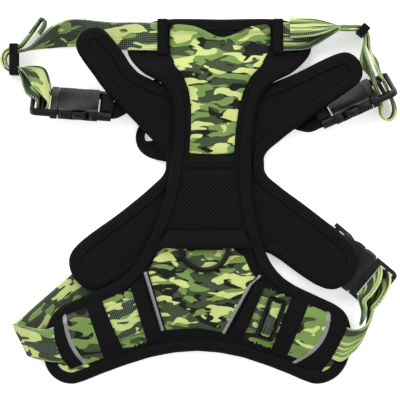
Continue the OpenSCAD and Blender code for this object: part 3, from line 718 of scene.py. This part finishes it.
def ribbon(name, stations, width, material, slot, replaced=(), per=10, body="harness", thick=WEB_T,
           start=0.0, closed=False):
    """Webbing through stations of middle and width direction, with lengths in its texture coordinates.

    Where a station leaves only a share of the width, the webbing is bunched into folds.
    """
    if closed:
        stations = stations[-2:] + stations + stations[:3]
    kept = slice(2 * per, -2 * per - 1) if closed else slice(None)
    middle = spline([s[0] for s in stations], per)[kept]
    width_dir = spline([s[1] for s in stations], per)[kept]
    width_dir /= np.linalg.norm(width_dir, axis=1)[:, None]
    up = np.cross(np.gradient(middle, axis=0), width_dir)
    up /= np.linalg.norm(up, axis=1)[:, None]
    run = start + lengths(middle)
    shape = section(width, thick)
    rings, sides = len(middle), len(shape)
    share = spline([[s[2] if len(s) > 2 else 1.0] for s in stations], per)[kept]
    share = np.clip(share, LEAST_SHARE, 1.0)[:, None, :]
    folds = FOLD_H * (1 - share) * np.cos(2 * math.pi * shape[None, :, :1] / FOLD_PITCH)
    points = (middle[:, None, :] + share * shape[None, :, :1] * width_dir[:, None, :]
              + (shape[None, :, 1:] + folds) * up[:, None, :])
    uv = np.stack([np.repeat(run, sides), np.tile(shape[:, 0], rings)], axis=1)
    faces = tube_faces(rings, sides, rings if closed else rings - 1)
    if not closed:
        faces += [tuple(reversed(range(sides))), tuple(range((rings - 1) * sides, rings * sides))]
    return piece(name, points.reshape(-1, 3), faces, [material], slot, replaced, body, uv)


FAN_BUNCH, FAN_LEAN, FAN_Z = 0.38, 0.36, 3.4


def fanned(pose, width, x, turn):
    """Webbing that rises from a slot of a male half and turns over the lower side of its frame."""
    share = 1 - FAN_BUNCH * turn / 90
    a = math.radians(turn)
    way = unit(pose_dir([FAN_LEAN * math.sin(a), math.cos(a), math.sin(a)], pose))
    return pose_at([x, -width / 2 - 1, FAN_Z], pose) + (1 + share * width / 2) * way, way, share


def hung_on_bar(pose, up):
    """Round the middle bar of a male half, with slack in its slots."""
    c = BAR_WRAP * math.cos(math.pi / 4)
    turn = [(-BAR_WRAP - 1.1, up), (-BAR_WRAP - 0.6, 0), (-c - 0.1, -c - 0.1), (0, -BAR_WRAP - 0.05),
            (c + 0.1, -c - 0.1), (BAR_WRAP + 0.6, 0), (BAR_WRAP + 1.1, up)]
    return [in_pose(MID_BAR_X + x, z, pose) for x, z in turn]


def on_edge(turn, points):
    """Stations of a strap on its edge, by their places about the middle of a turn."""
    return [station(turn[0] + x, turn[1] + y, EDGE_Z, 100, 90) for x, y in points]


FLAP_Y, FLAP_TILT = 118.0, -5.0
FLAP_Z = CHEST_TOP + PLAY + 1 + WEB_T
NECK_BAND_X = 40.5


def left_neck_route():
    """From its band through the keeper, round the buckle's bar, and back through the keeper to its end."""
    x0 = leant(-NECK_BAND_X, FLAP_Y)
    r, q = TURN_R, TAIL_TURN_R
    c, d = 0.72 * r, 0.72 * q
    route = laid((x0 + 3.4, FLAP_Y, FLAP_Z, 90, FLAP_TILT), (x0 - 6, FLAP_Y, FLAP_Z, 90, FLAP_TILT),
                 (x0 - 20, FLAP_Y + 0.4, FLAP_Z + 0.4, 90, FLAP_TILT - 2), (-60, 118.4, 5, 90, -3),
                 (-72, 119.5, 2.8, 92, 0), (-86, 121, 3.2, 94, 6), (-99, 119, 7, 98, 34),
                 (-110, 114, 10.6, 100, 66), (-119, 109.6, EDGE_Z, 100, 88))
    route += on_edge(LEFT_TURN, [(4.5, r), (0, r), (-c, c), (-r, 0), (-c, -c), (0, -r)])
    route += laid((-126.4, LEFT_TURN[1] - r - 0.1, EDGE_Z, 265, 90), (-119, 93.4, 14, 246, 64),
                  (-112, 88.6, 18, 240, 40))
    route += hung_on_bar(LEFT_POSE, 8)
    route += laid((-117.6, 84.5, 17, 240, 40), (-123.4, 91.4, 12.4, 250, 72),
                  (LEFT_TURN[0] + 3.4, LEFT_TURN[1] - q, EDGE_Z, 265, 90))
    route += on_edge(LEFT_TURN, [(-1, -q), (-0.76 * q, -0.66 * q), (-q, 0), (-d, d), (0, q + 0.1)])
    return route + [station(x, y, EDGE_Z, 145, 88) for x, y in (
        (-126.2, 110.9), (-122.4, 114.8), (-117.4, 121.4), (-113.2, 127.4), (-110.6, 130.1),
        (-108.4, 128.7), (-109.4, 124.6), (-112.8, 119.8))]


def right_neck_route():
    """As the left one, with a loop that hangs below the buckle and the end laid back over the strap."""
    x0 = leant(NECK_BAND_X, FLAP_Y)
    r, q = TURN_R, TAIL_TURN_R
    c, d = 0.72 * r, 0.72 * q
    route = laid((x0 - 3.4, FLAP_Y, FLAP_Z, 270, -FLAP_TILT), (x0 + 6, FLAP_Y, FLAP_Z, 270, -FLAP_TILT),
                 (x0 + 20, FLAP_Y, FLAP_Z + 0.3, 270, -FLAP_TILT, 0.9), (80.6, 119.2, 9.6, 270, 24, 0.8),
                 (89.5, 121.6, 11, 272, 62, 0.84), (98, 123, EDGE_Z, 280, 88))
    route += on_edge(RIGHT_TURN, [(-5.4, r), (0, r), (c, c), (r, 0)])
    route += laid((114.6, 109.6, EDGE_Z, 294, 88), (115.2, 102, 12.8, 330, 74), (116.8, 94.4, 16, 326, 60))
    route += [in_pose(SLOT_IN + x, z, RIGHT_POSE, -1) for x, z in ((0, 8), (0, 0), (-0.4, -5))]
    route += laid((126.4, 68.6, EDGE_Z + 0.2, 294, 78), (127.4, 62.6, EDGE_Z, 294, 84),
                  (131.2, 59.4, EDGE_Z, 294, 86), (135, 62, EDGE_Z, 294, 84),
                  (136, 68.6, EDGE_Z + 0.2, 294, 78))
    route += [in_pose(SLOT_OUT + x, z, RIGHT_POSE, -1) for x, z in ((0.4, -5), (0, 0), (0, 8))]
    route += laid((124, 96.6, 16.4, 262, 68), (119.9, 106, 12.6, 272, 80), (118, 112, EDGE_Z, 294, 88))
    route += on_edge(RIGHT_TURN, [(q, 0), (d, d), (2, q - 0.1), (-5.4, q)])
    return route + laid((98, 125.2, EDGE_Z, 280, 88), (89.5, 124.6, 13.2, 272, 68),
                        (80.6, 124.4, 13.6, 271, 52), (72, 124.2, 13.4, 270, 46), (63, 124, 13.2, 270, 44))


def left_belly_route():
    """Under the wing's bands, then folded back below the plate to the arm of the back plate."""
    route = [in_wing(x, RUN_Z, -1) for x in (-14.5, -6, 12, 30, 46)] + [in_wing(57, RUN_Z + 0.7, -1)]
    return route + [station(*s, 0) for s in (
        (-114, -97.4, 10.2, 111), (-122.4, -95.6, 8.2, 113), (-126, -94.6, 4.8, 116),
        (-124.2, -93.6, 2, 117), (-117, -88, 1.4, 121), (-102, -75, 1.5, 126), (-88, -63, 2.6, 128),
        (-76, -53, 3.7, 128))]


def slider_weave():
    """Under the outer bars and over the middle one, from the inner band to the middle band."""
    r, w = 0.74 * SLIDER_WRAP, SLIDER_WRAP
    half = [(-SLIDER_PITCH - 3, -w), (-SLIDER_PITCH, -w), (-SLIDER_PITCH + r, -r), (-r, r)]
    weave = half + [(0, w)] + [(-x, z) for x, z in reversed(half)]
    return [in_wing(SLIDER_X + x, SLIDER_LIFT + z, 1) for x, z in weave]


def right_belly_route():
    """Under the wing's bands, up to the buckle, round its middle bar and back beside itself."""
    route = [in_wing(x, RUN_Z, 1) for x in (22, 34, 46)] + [in_wing(56, RUN_Z + 1, 1)]
    route += laid((109.8, -95, 12.4, 72, 26, 0.84), (114.8, -89.6, 13.6, 74, 50, 0.8),
                  (117.6, -83, 15, 70, 66, 0.76), (119, -76.4, 16.2, 56, 76, 0.68))
    route += [fanned(BELLY_POSE, BELLY_W, MID_BAR_X + 4, a) for a in (90, 60, 30, 0)]
    route += hung_on_bar(BELLY_POSE, 1.6)[::-1]
    route += [fanned(BELLY_POSE, BELLY_W, MID_BAR_X - 4.2, a) for a in (0, 30, 60, 90)]
    return route + laid((114.6, -73.8, 15.8, 56, 78, 0.68), (113.4, -81.6, 14.8, 68, 70, 0.76))


def handle_route():
    z = HANDLE_Z
    return laid((16, 57, z, 90, 0), (0, 57.4, z, 90, 0), (-16, 57.8, z, 90, 0),
                (-28, 58.2, z - 0.2, 92, 0, 0.8), (-35.6, 57.4, z - 0.5, 112, -4, 0.5),
                (-40.4, 53.6, z - 0.4, 150, -12, 0.42), (-42.2, 48.4, z, 172, -20, 0.42),
                (-41.2, 43.2, z + 0.2, 206, -24, 0.48), (-36.8, 40.2, z - 0.5, 244, -6, 0.68),
                (-30, 38.9, z - 0.3, 262, -2, 0.9), (-16, 37, z, 262, 0), (-2, 34.6, z, 262, 0),
                (12, 32, z, 262, 0))


def tab_route(pose, ends):
    """Round the tail bar of a female half and away under the back plate."""
    r = TAIL_WRAP
    turn = [(-4, 1.9), (-2.4, r - 0.2), (0.3, r), (0.75 * r + 0.8, 0.7 * r), (r + 1.2, 0),
            (0.75 * r + 0.8, -0.7 * r), (0.3, -r), (-3, -r + 0.1), (-5.5, -r + 0.5)]
    return [in_pose(TAIL_X + x, z, pose) for x, z in turn] + [(np.array(p), unit(w)) for p, w in ends]


LEFT_TAB_ENDS = [((-53, 70.6, 8.6), (-0.24, -0.85, 0.4)), ((-46.6, 74, 5.4), (-0.4, -0.9, 0.06)),
                 ((-38.4, 78.4, 4), (-0.46, -0.9, 0)), ((-30, 83, 3.7), (-0.48, -0.88, 0))]
RIGHT_TAB_ENDS = [((75, 59.4, 9.8), (-0.16, 0.8, -0.5)), ((68, 62, 6.6), (-0.1, 0.94, -0.16)),
                  ((60, 65, 4.2), (-0.1, 0.99, 0)), ((49, 67.6, 3.7), (-0.1, 0.99, 0))]
BELLY_TAB_ENDS = [((73, -18.5, 4.6), (0.6, 0.8, 0)), ((61, -10.5, 4.2), (0.56, 0.83, 0)),
                  ((50, -4, 3.9), (0.52, 0.85, 0))]


def keeper_route(centre, x, y0, y1, turn=0.0):
    """Round a keeper's rounded rectangle, seen along X, then turned about a centre."""
    half_y, half_z, r = (y1 - y0) / 2 + 0.5, NECK_W / 2 + 0.8, 1.6
    route = []
    for sy, sz, first in ((1, 1, 0), (-1, 1, 90), (-1, -1, 180), (1, -1, 270)):
        for a in (first, first + 45, first + 90):
            c, s = math.cos(math.radians(a)), math.sin(math.radians(a))
            at = [x, (y0 + y1) / 2 + sy * (half_y - r) + r * c, EDGE_Z + sz * (half_z - r) + r * s]
            route.append((turned(at, "Z", turn) + [*centre, 0], turned([1.0, 0, 0], "Z", turn)))
    return route


def sleeve_route():
    """A fold of webbing round the ring's straight bar, both ends sewn under the flap."""
    r = RING_R + RING_PLAY + SLEEVE_T / 2
    c = 0.71 * r
    x = leant(0, RING_Y)
    turn = [(7, -r), (4, -r), (0, -r), (-c, -c), (-r, 0), (-c, c), (0, r), (2.4, r - 0.5)]
    return [(np.array([x, RING_Y + y, RING_Z + z]), np.array([1.0, 0, 0])) for y, z in turn]


# pieces across a wing
def through(three, t):
    """Curve through three values at -1, 0 and 1."""
    low, middle, high = three
    return middle + t * (high - low) / 2 + t * t * ((high + low) / 2 - middle)


def wing_band(name, node, side, inner, outer, low, high, material, slot, thick=1.0, lift=0.0):
    """A strip sewn down at both ends that rises over the strap between them.

    inner and outer are the places of its two edges along the wing at its lower end, middle and upper end.
    """
    columns, rows = 9, 45
    t = np.linspace(-1, 1, rows)
    v = low + (high - low) * (t + 1) / 2
    over = smoothstep((v - low - 1.0) / (-BELLY_W / 2 - low + 0.5)) * smoothstep(
        (high - 0.6 - v) / (high - BELLY_W / 2 + 0.3))
    top = 0.75 + (BAND_H + thick - 0.6) * over + lift
    upper, under = [], []
    for r in range(rows):
        x0, x1 = through(inner, t[r]), through(outer, t[r])
        for c in range(columns):
            f = 0.5 - 0.5 * math.cos(math.pi * c / (columns - 1))
            edge = 0.3 * (1 - smoothstep(min(f, 1 - f) * (x1 - x0) / 0.9))
            upper.append(wing_at([x0 + (x1 - x0) * f, v[r], top[r] - edge], side))
            under.append(wing_at([x0 + (x1 - x0) * f, v[r], top[r] - thick], side))
    grid = np.arange(rows * columns).reshape(rows, columns)
    quads = np.stack([grid[:-1, :-1], grid[:-1, 1:], grid[1:, 1:], grid[1:, :-1]], axis=-1).reshape(-1, 4)
    rim = np.r_[grid[:, 0], grid[-1, 1:], grid[-2::-1, -1], grid[0, -2:0:-1]]
    faces = shell_faces(quads.tolist(), rim.tolist(), rows * columns)
    piece(name, np.array(upper + under), faces, [material], slot, (node,))


# stitching
STITCH_HALF = 0.36
SEAM_INSET = 2.0


def stitches(name, lines, pitch, slot, radius=0.3):
    """Short raised threads along lines, as one mesh."""
    points, faces = [], []
    for line in lines:
        run = lengths(line)
        for at in np.arange(pitch / 2, run[-1], pitch):
            first, last = (np.array([np.interp(at + half, run, line[:, k]) for k in range(3)])
                           for half in (-STITCH_HALF * pitch, STITCH_HALF * pitch))
            along = unit(last - first + 1e-9)
            side = unit(np.cross(along, [0, 0, 1.0]) + 1e-9)
            rise = np.cross(side, along)
            start = len(points)
            for f, swell in ((0, 0.35), (0.5, 1.0), (1, 0.35)):
                centre = first * (1 - f) + last * f
                points += [centre + swell * radius * (math.cos(a) * side + math.sin(a) * rise)
                           for a in np.arange(6) * math.pi / 3]
            ends = [tuple(reversed(range(6))), tuple(range(12, 18))]
            faces += [tuple(start + i for i in f) for f in tube_faces(3, 6, 2) + ends]
    piece(name, np.array(points), faces, [THREAD], slot)


def sewn_round(made, loop):
    """A line on a made piece's upper face, a little inside its outline."""
    at = even(loop + SEAM_INSET * inwards(loop), 1.2)
    return closed_line(np.column_stack([at, heights(tree_of(made.data), at, 0.2) + STITCH_LIFT]))


# rigid pieces, with the angles in degrees at which edges are dropped, broken and shaded sharp
FLAT_EDGE, HARD_EDGE, SHADED_EDGE = 1, 32, 40


def bevelled(node, width, material, slot):
    """A rigid solid with its hard edges broken, standing for the CAD node."""
    work = bmesh.new()
    work.from_mesh(solid(node))
    bmesh.ops.remove_doubles(work, verts=work.verts, dist=1e-6)
    bmesh.ops.dissolve_limit(work, angle_limit=math.radians(FLAT_EDGE), verts=work.verts, edges=work.edges)
    hard = math.radians(HARD_EDGE)
    sharp = [e for e in work.edges if len(e.link_faces) == 2 and e.calc_face_angle(0) > hard]
    bmesh.ops.bevel(work, geom=sharp, offset=width / 1000, offset_type="OFFSET", segments=2, profile=0.6,
                    affect="EDGES", clamp_overlap=True)
    mesh = bpy.data.meshes.new(f"{node}_moulding")
    work.to_mesh(mesh)
    work.free()
    mesh.materials.append(material)
    mesh.polygons.foreach_set("material_index", [0] * len(mesh.polygons))
    mesh.shade_smooth()
    mesh.set_sharp_from_angle(angle=math.radians(SHADED_EDGE))
    placed(f"{node}_moulding", mesh, slot, (node,), BODY_OF[node])


# the back plate
BACK = ("back_core", "back_binding", "back_lining", "back_cover")
plate("back_pad", "back_binding", BACK, [LINING, CLOTH], "padded_core",
      ("back_core", "back_lining", "back_cover"), crown=0.6, seed=3.1,
      paint=lambda middles: [0] * len(middles))
back_seam = edge_tape("back_edge_tape", "back_binding", BACK, 5.7)
ribbon("back_handle_webbing", handle_route(), HANDLE_W, BLACK_WEB, "black_webbing", ("back_handle",))

# the chest plate
CHEST = ("chest_core", "chest_binding", "chest_lining")
# where the wings are printed, along and across each wing
PRINT_FROM, PRINT_TO, PRINT_END = {1: -15.5, -1: -11}, 30, 38
PRINT_LOW, PRINT_HIGH = -20.5, 18.5
WING_TOP_Y = -50


def wing_print(middles):
    """Printed cloth under the straps of both wings, black cloth on the rest of the face."""
    kinds = []
    for x, y in middles:
        side = 1 if x > 0 else -1
        level = (y - WING_ORIGIN[1]) / math.cos(math.radians(WING_SLOPE))
        along, across, _ = turned([side * x - WING_ORIGIN[0], level, 0], "Z", WING_ANGLE)
        window = PRINT_FROM[side] < along < PRINT_TO and PRINT_LOW < across < PRINT_HIGH
        kinds.append(2 if y < WING_TOP_Y and (window or along > PRINT_END) else 0)
    return kinds


plate("chest_pad", "chest_binding", CHEST, [CLOTH, LINING, CAMO], "padded_core",
      ("chest_core", "chest_lining"), crown=0.25, seed=8.3, paint=wing_print)
chest_seam = edge_tape("chest_edge_tape", "chest_binding", CHEST, 1.9)


NECK_INSET, NECK_SAG, SAG_X, SAG_W = 4.6, 7.4, 2, 15


def neck_edge(u):
    """Place along Y of the neck panel's upper edge, which sags between its two corners."""
    sag = NECK_SAG * np.exp(-((u - SAG_X) / SAG_W) ** 2)
    return NECK_Y - NECK_INSET - sag - 1.4 * smoothstep((np.abs(u) - 31) / 5)


def neck_cut(loop):
    """The neck panel's outline with its upper edge on neck_edge."""
    u = loop[:, 0] - leant(0, loop[:, 1])
    high = smoothstep((loop[:, 1] - NECK_Y + 13.5) / 2.5)
    return np.column_stack([loop[:, 0], loop[:, 1] + high * (neck_edge(u) - (NECK_Y - 10))])


def neck_folds(points):
    """Soft creases below the middle of the neck edge, and the corners that lie on the edge tape."""
    u = points[:, 0] - leant(0, points[:, 1])
    down = neck_edge(u) - points[:, 1]
    creases = 0.0
    for at, wide, high in ((2.6, 1.5, 1.0), (6.2, 1.8, -0.8), (10.0, 2.4, 0.7), (15.0, 3.0, -0.5)):
        creases = creases + high * np.exp(-((down - at) / wide) ** 2)
    fade = smoothstep(1.25 - np.abs(u - SAG_X) / (2 * SAG_W))
    on_tape = 1.3 * smoothstep((points[:, 1] - NECK_Y + 11.5) / 3)
    return creases * fade + on_tape + ruffle(points, 0.35, 14, 2.2)


FLAP_EDGE = -26.0
FLAP_LIP = 4.4
FLAP_SPREAD = 3.0
FLAP_STEP = 1.4
# the bowed strip stands above the cloths it crosses
STRIP_BOW, STRIP_BOW_Y, STRIP_RISE = 3.1, -50.5, 0.9
FLAP_CORNERS = {
    "left": [(-30, -29), (-32.2, -35), (-34.6, -40.6), (-36.5, -44.8), (-35, -41.6), (-32.6, -36),
             (-29, -32.4), (-24.6, -29.6)],
    "right": [(22, -29), (25.2, -32.5), (30.8, -35.7), (32.9, -40.6), (34.4, -44.2), (38.4, -49.6),
              (41.4, -49.2), (38.4, -41.3), (37.1, -36.4), (35.8, -30.8), (35.6, -29)],
}


def flap_corner(name, corner):
    """Black cloth sewn over a shoulder of the belly panel."""
    tree = tree_of(solid("belly_panel"))

    def top(points, away):
        return heights(tree, points, COVER_REACH) + 0.5 + 0.45 * smoothstep(away / 0.9)

    def low(points, away):
        return heights(tree, points, COVER_REACH) - 0.2

    loop = softened(np.array(corner), COVER_ROUND, FLAP_STEP)
    slab(name, loop, FLAP_STEP, top, low, [TAPE], "black_fabric", ())


def bowed_strip(loop):
    """The right inner strip, which lies further in below its upper end."""
    bow = STRIP_BOW * smoothstep((STRIP_BOW_Y - loop[:, 1]) / 6)
    return np.column_stack([loop[:, 0] - bow, loop[:, 1]])


def flap_lip(loop):
    """The free edge of the ring's flap, drawn down over the bar of the ring."""
    u = loop[:, 0] - leant(0, loop[:, 1])
    low = smoothstep((FLAP_EDGE + 3.5 - loop[:, 1]) / 3)
    wider = FLAP_SPREAD * np.sign(u) * smoothstep((np.abs(u) - 22) / 8)
    return np.column_stack([loop[:, 0] + low * wider, loop[:, 1] - FLAP_LIP * low])


cover("neck_panel_cloth", "neck_panel", CAMO, "camo_cover", fold=neck_folds, step=1.5, cut=neck_cut)
cover("belly_panel_cloth", "belly_panel", CAMO, "camo_cover",
      fold=lambda points: ruffle(points, 0.35, 16, 6.4))
mesh_panel, mesh_loop = cover("mesh_window", "mesh_panel", WINDOW, "mesh_lining", crown=0.3)
trim, trim_loop = cover("trim_strip_cloth", "trim_strip", TAPE, "black_fabric", crown=0.6)
flap, _ = cover("ring_flap_cloth", "ring_flap", TAPE, "black_fabric", crown=0.3, step=FLAP_STEP,
                cut=flap_lip, body=None)
follow(flap, "leash_ring", (leant(0, RING_Y), FLAP_EDGE, RING_Z),
       (leant(0, RING_Y), FLAP_EDGE - FLAP_LIP, RING_Z))
flap_loop = softened(outline("ring_flap"), COVER_ROUND, FLAP_STEP)
for side, corner in FLAP_CORNERS.items():
    flap_corner(f"{side}_flap_corner_cloth", corner)
for side, cut, fold in (("left", None, None), ("right", bowed_strip, lambda points: STRIP_RISE)):
    cover(f"{side}_inner_tape", f"{side}_inner_strip", GREY, "reflective_strip", crown=0.25, step=1.0,
          soften=0.3, cut=cut, fold=fold)
    cover(f"{side}_neck_band_cloth", f"{side}_neck_band", TAPE, "black_fabric", thick=1.1, step=1.4)

# bands, patches and tapes across the wings, by the places of their edges along each wing
LEFT_EDGES = {
    "inner_band": ((-17.5, -17.5, -18.5), (-6.2, -7.8, -9.2)),
    "middle_band": ((11, 12.4, 13.2), (26.3, 25.6, 24.9)),
    "patch": ((25.4, 24.7, 24), (39.4, 43, 40.2)),
    "outer_strip": ((38.4, 42.6, 39.6), (41.4, 45.6, 42.6)),
    "outer_band": ((40.4, 44.6, 41.6), (51, 54, 49.5)),
}
RIGHT_EDGES = {
    "inner_band": ((-23.2, -21.2, -18.8), (-14.2, -13, -12.2)),
    "middle_band": ((7.6, 8, 8.2), (19.6, 20.4, 21.2)),
    "patch": ((18.7, 19.5, 20.3), (29.6, 38, 35.2)),
    "outer_strip": ((24.4, 36.6, 34.4), (27.4, 39.6, 37.4)),
    "outer_band": ((26.4, 38.6, 36.4), (46, 50.5, 51.5)),
}
ENDS = {"inner_band": (-22.5, 22), "middle_band": (-23, 18.5), "patch": (-21, 18.5),
        "outer_strip": (-20.5, 18), "outer_band": (-20.5, 16.5)}
RIGHT_OUTER_LOW = -25.0
BAND_LOOK = (TAPE, "black_fabric", 0.0)
OTHER_LOOKS = {"patch": (PATCH, "camo_cover", -0.25), "outer_strip": (GREY, "reflective_strip", 0.1)}
for side, s, edges in (("left", -1, LEFT_EDGES), ("right", 1, RIGHT_EDGES)):
    for kind, (inner, outer) in edges.items():
        material, slot, lift = OTHER_LOOKS.get(kind, BAND_LOOK)
        low, high = ENDS[kind]
        if side == "right" and kind.startswith("outer"):
            low = RIGHT_OUTER_LOW
        wing_band(f"{side}_{kind}_cloth", f"{side}_{kind}", s, inner, outer, low, high, material, slot,
                  lift=lift)

# printed straps: name, route, width, look, length before its start and CAD nodes, and for a loose one
# a body and two places, which follow takes but does not use; a loose strap rides no body
KEEPER_STATION = 10
left_route, weave = left_neck_route(), slider_weave()
STRAPS = (
    ("left_neck_webbing", left_route[:KEEPER_STATION + 1], NECK_W, NECK_WEB, 0, ("left_neck_strap",)),
    ("left_neck_webbing_loop", left_route[KEEPER_STATION:], NECK_W, NECK_WEB, 112, (),
     "left_male", (-126, 94, 12), (-112, 76, 16)),
    ("right_neck_webbing", right_neck_route(), NECK_W, DRAWN_NECK_WEB, 230, ("right_neck_strap",),
     "right_male", (116.5, 108, 12), (121, 89, 16)),
    ("left_belly_webbing", left_belly_route(), BELLY_W, BELLY_WEB, 640, ("left_belly_strap",)),
    ("right_belly_webbing_inner", [in_wing(-16.4, RUN_Z, 1)] + weave[:8], BELLY_W, BELLY_WEB, 700, (),
     "strap_slider", wing_at([-16, 0, 1], 1), wing_at([-6.5, 0, 1], 1)),
    ("right_belly_webbing_middle", weave[7:] + [in_wing(22, RUN_Z, 1)], BELLY_W, BELLY_WEB, 732, (),
     "strap_slider", wing_at([21, 0, 1], 1), wing_at([7, 0, 1], 1)),
    ("right_belly_webbing_outer", right_belly_route(), BELLY_W, DRAWN_BELLY_WEB, 880,
     ("right_belly_strap",), "belly_male", (111, -93, 12), (120, -68, 12)),
)
for name, route, width, look, start, replaced, *loose in STRAPS:
    body = None if loose else "harness"
    strap = ribbon(name, route, width, look, "camo_webbing", replaced, body=body, start=start)
    if loose:
        follow(strap, *loose)
for key, pose, ends, width in (
        ("left", LEFT_POSE, LEFT_TAB_ENDS, NECK_W), ("right", RIGHT_POSE, RIGHT_TAB_ENDS, NECK_W),
        ("belly", BELLY_POSE, BELLY_TAB_ENDS, BELLY_W)):
    ribbon(f"{key}_tab_webbing", tab_route(pose, ends), width, BLACK_WEB, "black_webbing", (f"{key}_tab",))
ribbon("ring_sleeve_webbing", sleeve_route(), TAB_L, BLACK_WEB, "black_webbing", ("ring_tab",),
       thick=SLEEVE_T)
reach = TAIL_TURN_R + WEB_T / 2 + 0.8
for side, route in (
        ("left", keeper_route(LEFT_TURN, 0.4, -reach, reach)),
        ("right", keeper_route(RIGHT_TURN, 0, TURN_R - 2.4, TAIL_TURN_R + 2, -40))):
    ribbon(f"{side}_keeper_elastic", route, KEEPER_L, BLACK_WEB, "keeper_elastic", (f"{side}_keeper",),
           thick=KEEPER_T, closed=True, per=5)

# stitching
stitches("back_stitching", [closed_line(back_seam)], 3.2, "edge_binding")
sewn = [sewn_round(*both) for both in ((mesh_panel, mesh_loop), (trim, trim_loop), (flap, flap_loop))]
stitches("chest_stitching", [closed_line(chest_seam)] + sewn, 3.0, "edge_binding", 0.26)

# rigid pieces
for key in ("left", "right", "belly"):
    for half in ("female", "male", "prong_up", "prong_low"):
        bevelled(f"{key}_{half}", 0.5, PLASTIC, "buckle_plastic")
bevelled("strap_slider", 0.4, SLIDER, "slider_plastic")
solid("leash_ring").materials.clear()
solid("leash_ring").materials.append(METAL)

# floor, light and camera
HALF_FLOOR_M = 3.0
floor_mesh = bpy.data.meshes.new("floor")
floor_corners = [(HALF_FLOOR_M * x, HALF_FLOOR_M * y, 0) for x, y in ((-1, -1), (1, -1), (1, 1), (-1, 1))]
floor_mesh.from_pydata(floor_corners, [], [(0, 1, 2, 3)])
floor_mesh.materials.append(pale_floor())
floor = linked("floor", floor_mesh)

world = bpy.data.worlds.new("studio")
world.use_nodes = True
sky = Nodes(world.node_tree)
toward = sky.node("ShaderNodeTexCoord").outputs["Generated"]


def dome(direction, start, end, low, high):
    """The dome's strength, running from low to high as a ray turns towards a direction."""
    inputs = {0: toward, 1: direction}
    along = sky.node("ShaderNodeVectorMath", inputs, operation="DOT_PRODUCT").outputs["Value"]
    inputs = {"Value": along, "From Min": start, "From Max": end, "To Min": low, "To Max": high}
    return sky.node("ShaderNodeMapRange", inputs).outputs[0]


# bright from the neck side and above, with a dim spot straight overhead
strength = sky.math("MULTIPLY", dome((0.0, 0.4, 0.92), 0.0, 0.9, 0.2, 2.1),
                    dome((0.0, 0.0, 1.0), 0.74, 0.96, 1.0, 0.12))
background = world.node_tree.nodes["Background"]
sky.feed(background.inputs["Color"], (1, 1, 1, 1))
sky.feed(background.inputs["Strength"], strength)
bpy.context.scene.world = world


def soft_light(name, place, size, power):
    data = bpy.data.lights.new(name, "AREA")
    data.shape, data.size, data.energy = "DISK", size, power
    made = linked(name, data)
    made.location = place
    made.rotation_euler = (-Vector(place)).to_track_quat("-Z", "Y").to_euler()


soft_light("key_light", (-0.5, 0.7, 1.1), 0.7, 4.5)
soft_light("fill_light", (0.9, -0.5, 1.0), 0.9, 2.5)

PIXEL_MM = 0.7
IMAGE_PIXELS = 400
IMAGE_MIDDLE = (0.0, 3.5, 0.0)
CAMERA_HEIGHT_M = 2.4
SCALE_HEIGHT_M = 0.012
camera = bpy.data.cameras.new("camera")
camera.sensor_width = 36.0
camera.lens = camera.sensor_width * (CAMERA_HEIGHT_M - SCALE_HEIGHT_M) / (PIXEL_MM * IMAGE_PIXELS / 1000)
camera_object = linked("camera", camera)
camera_object.location = Vector(metres(IMAGE_MIDDLE)) + Vector((0, 0, CAMERA_HEIGHT_M))
camera.clip_end = 20.0
bpy.context.scene.camera = camera_object
bpy.context.scene.view_settings.view_transform = "Standard"
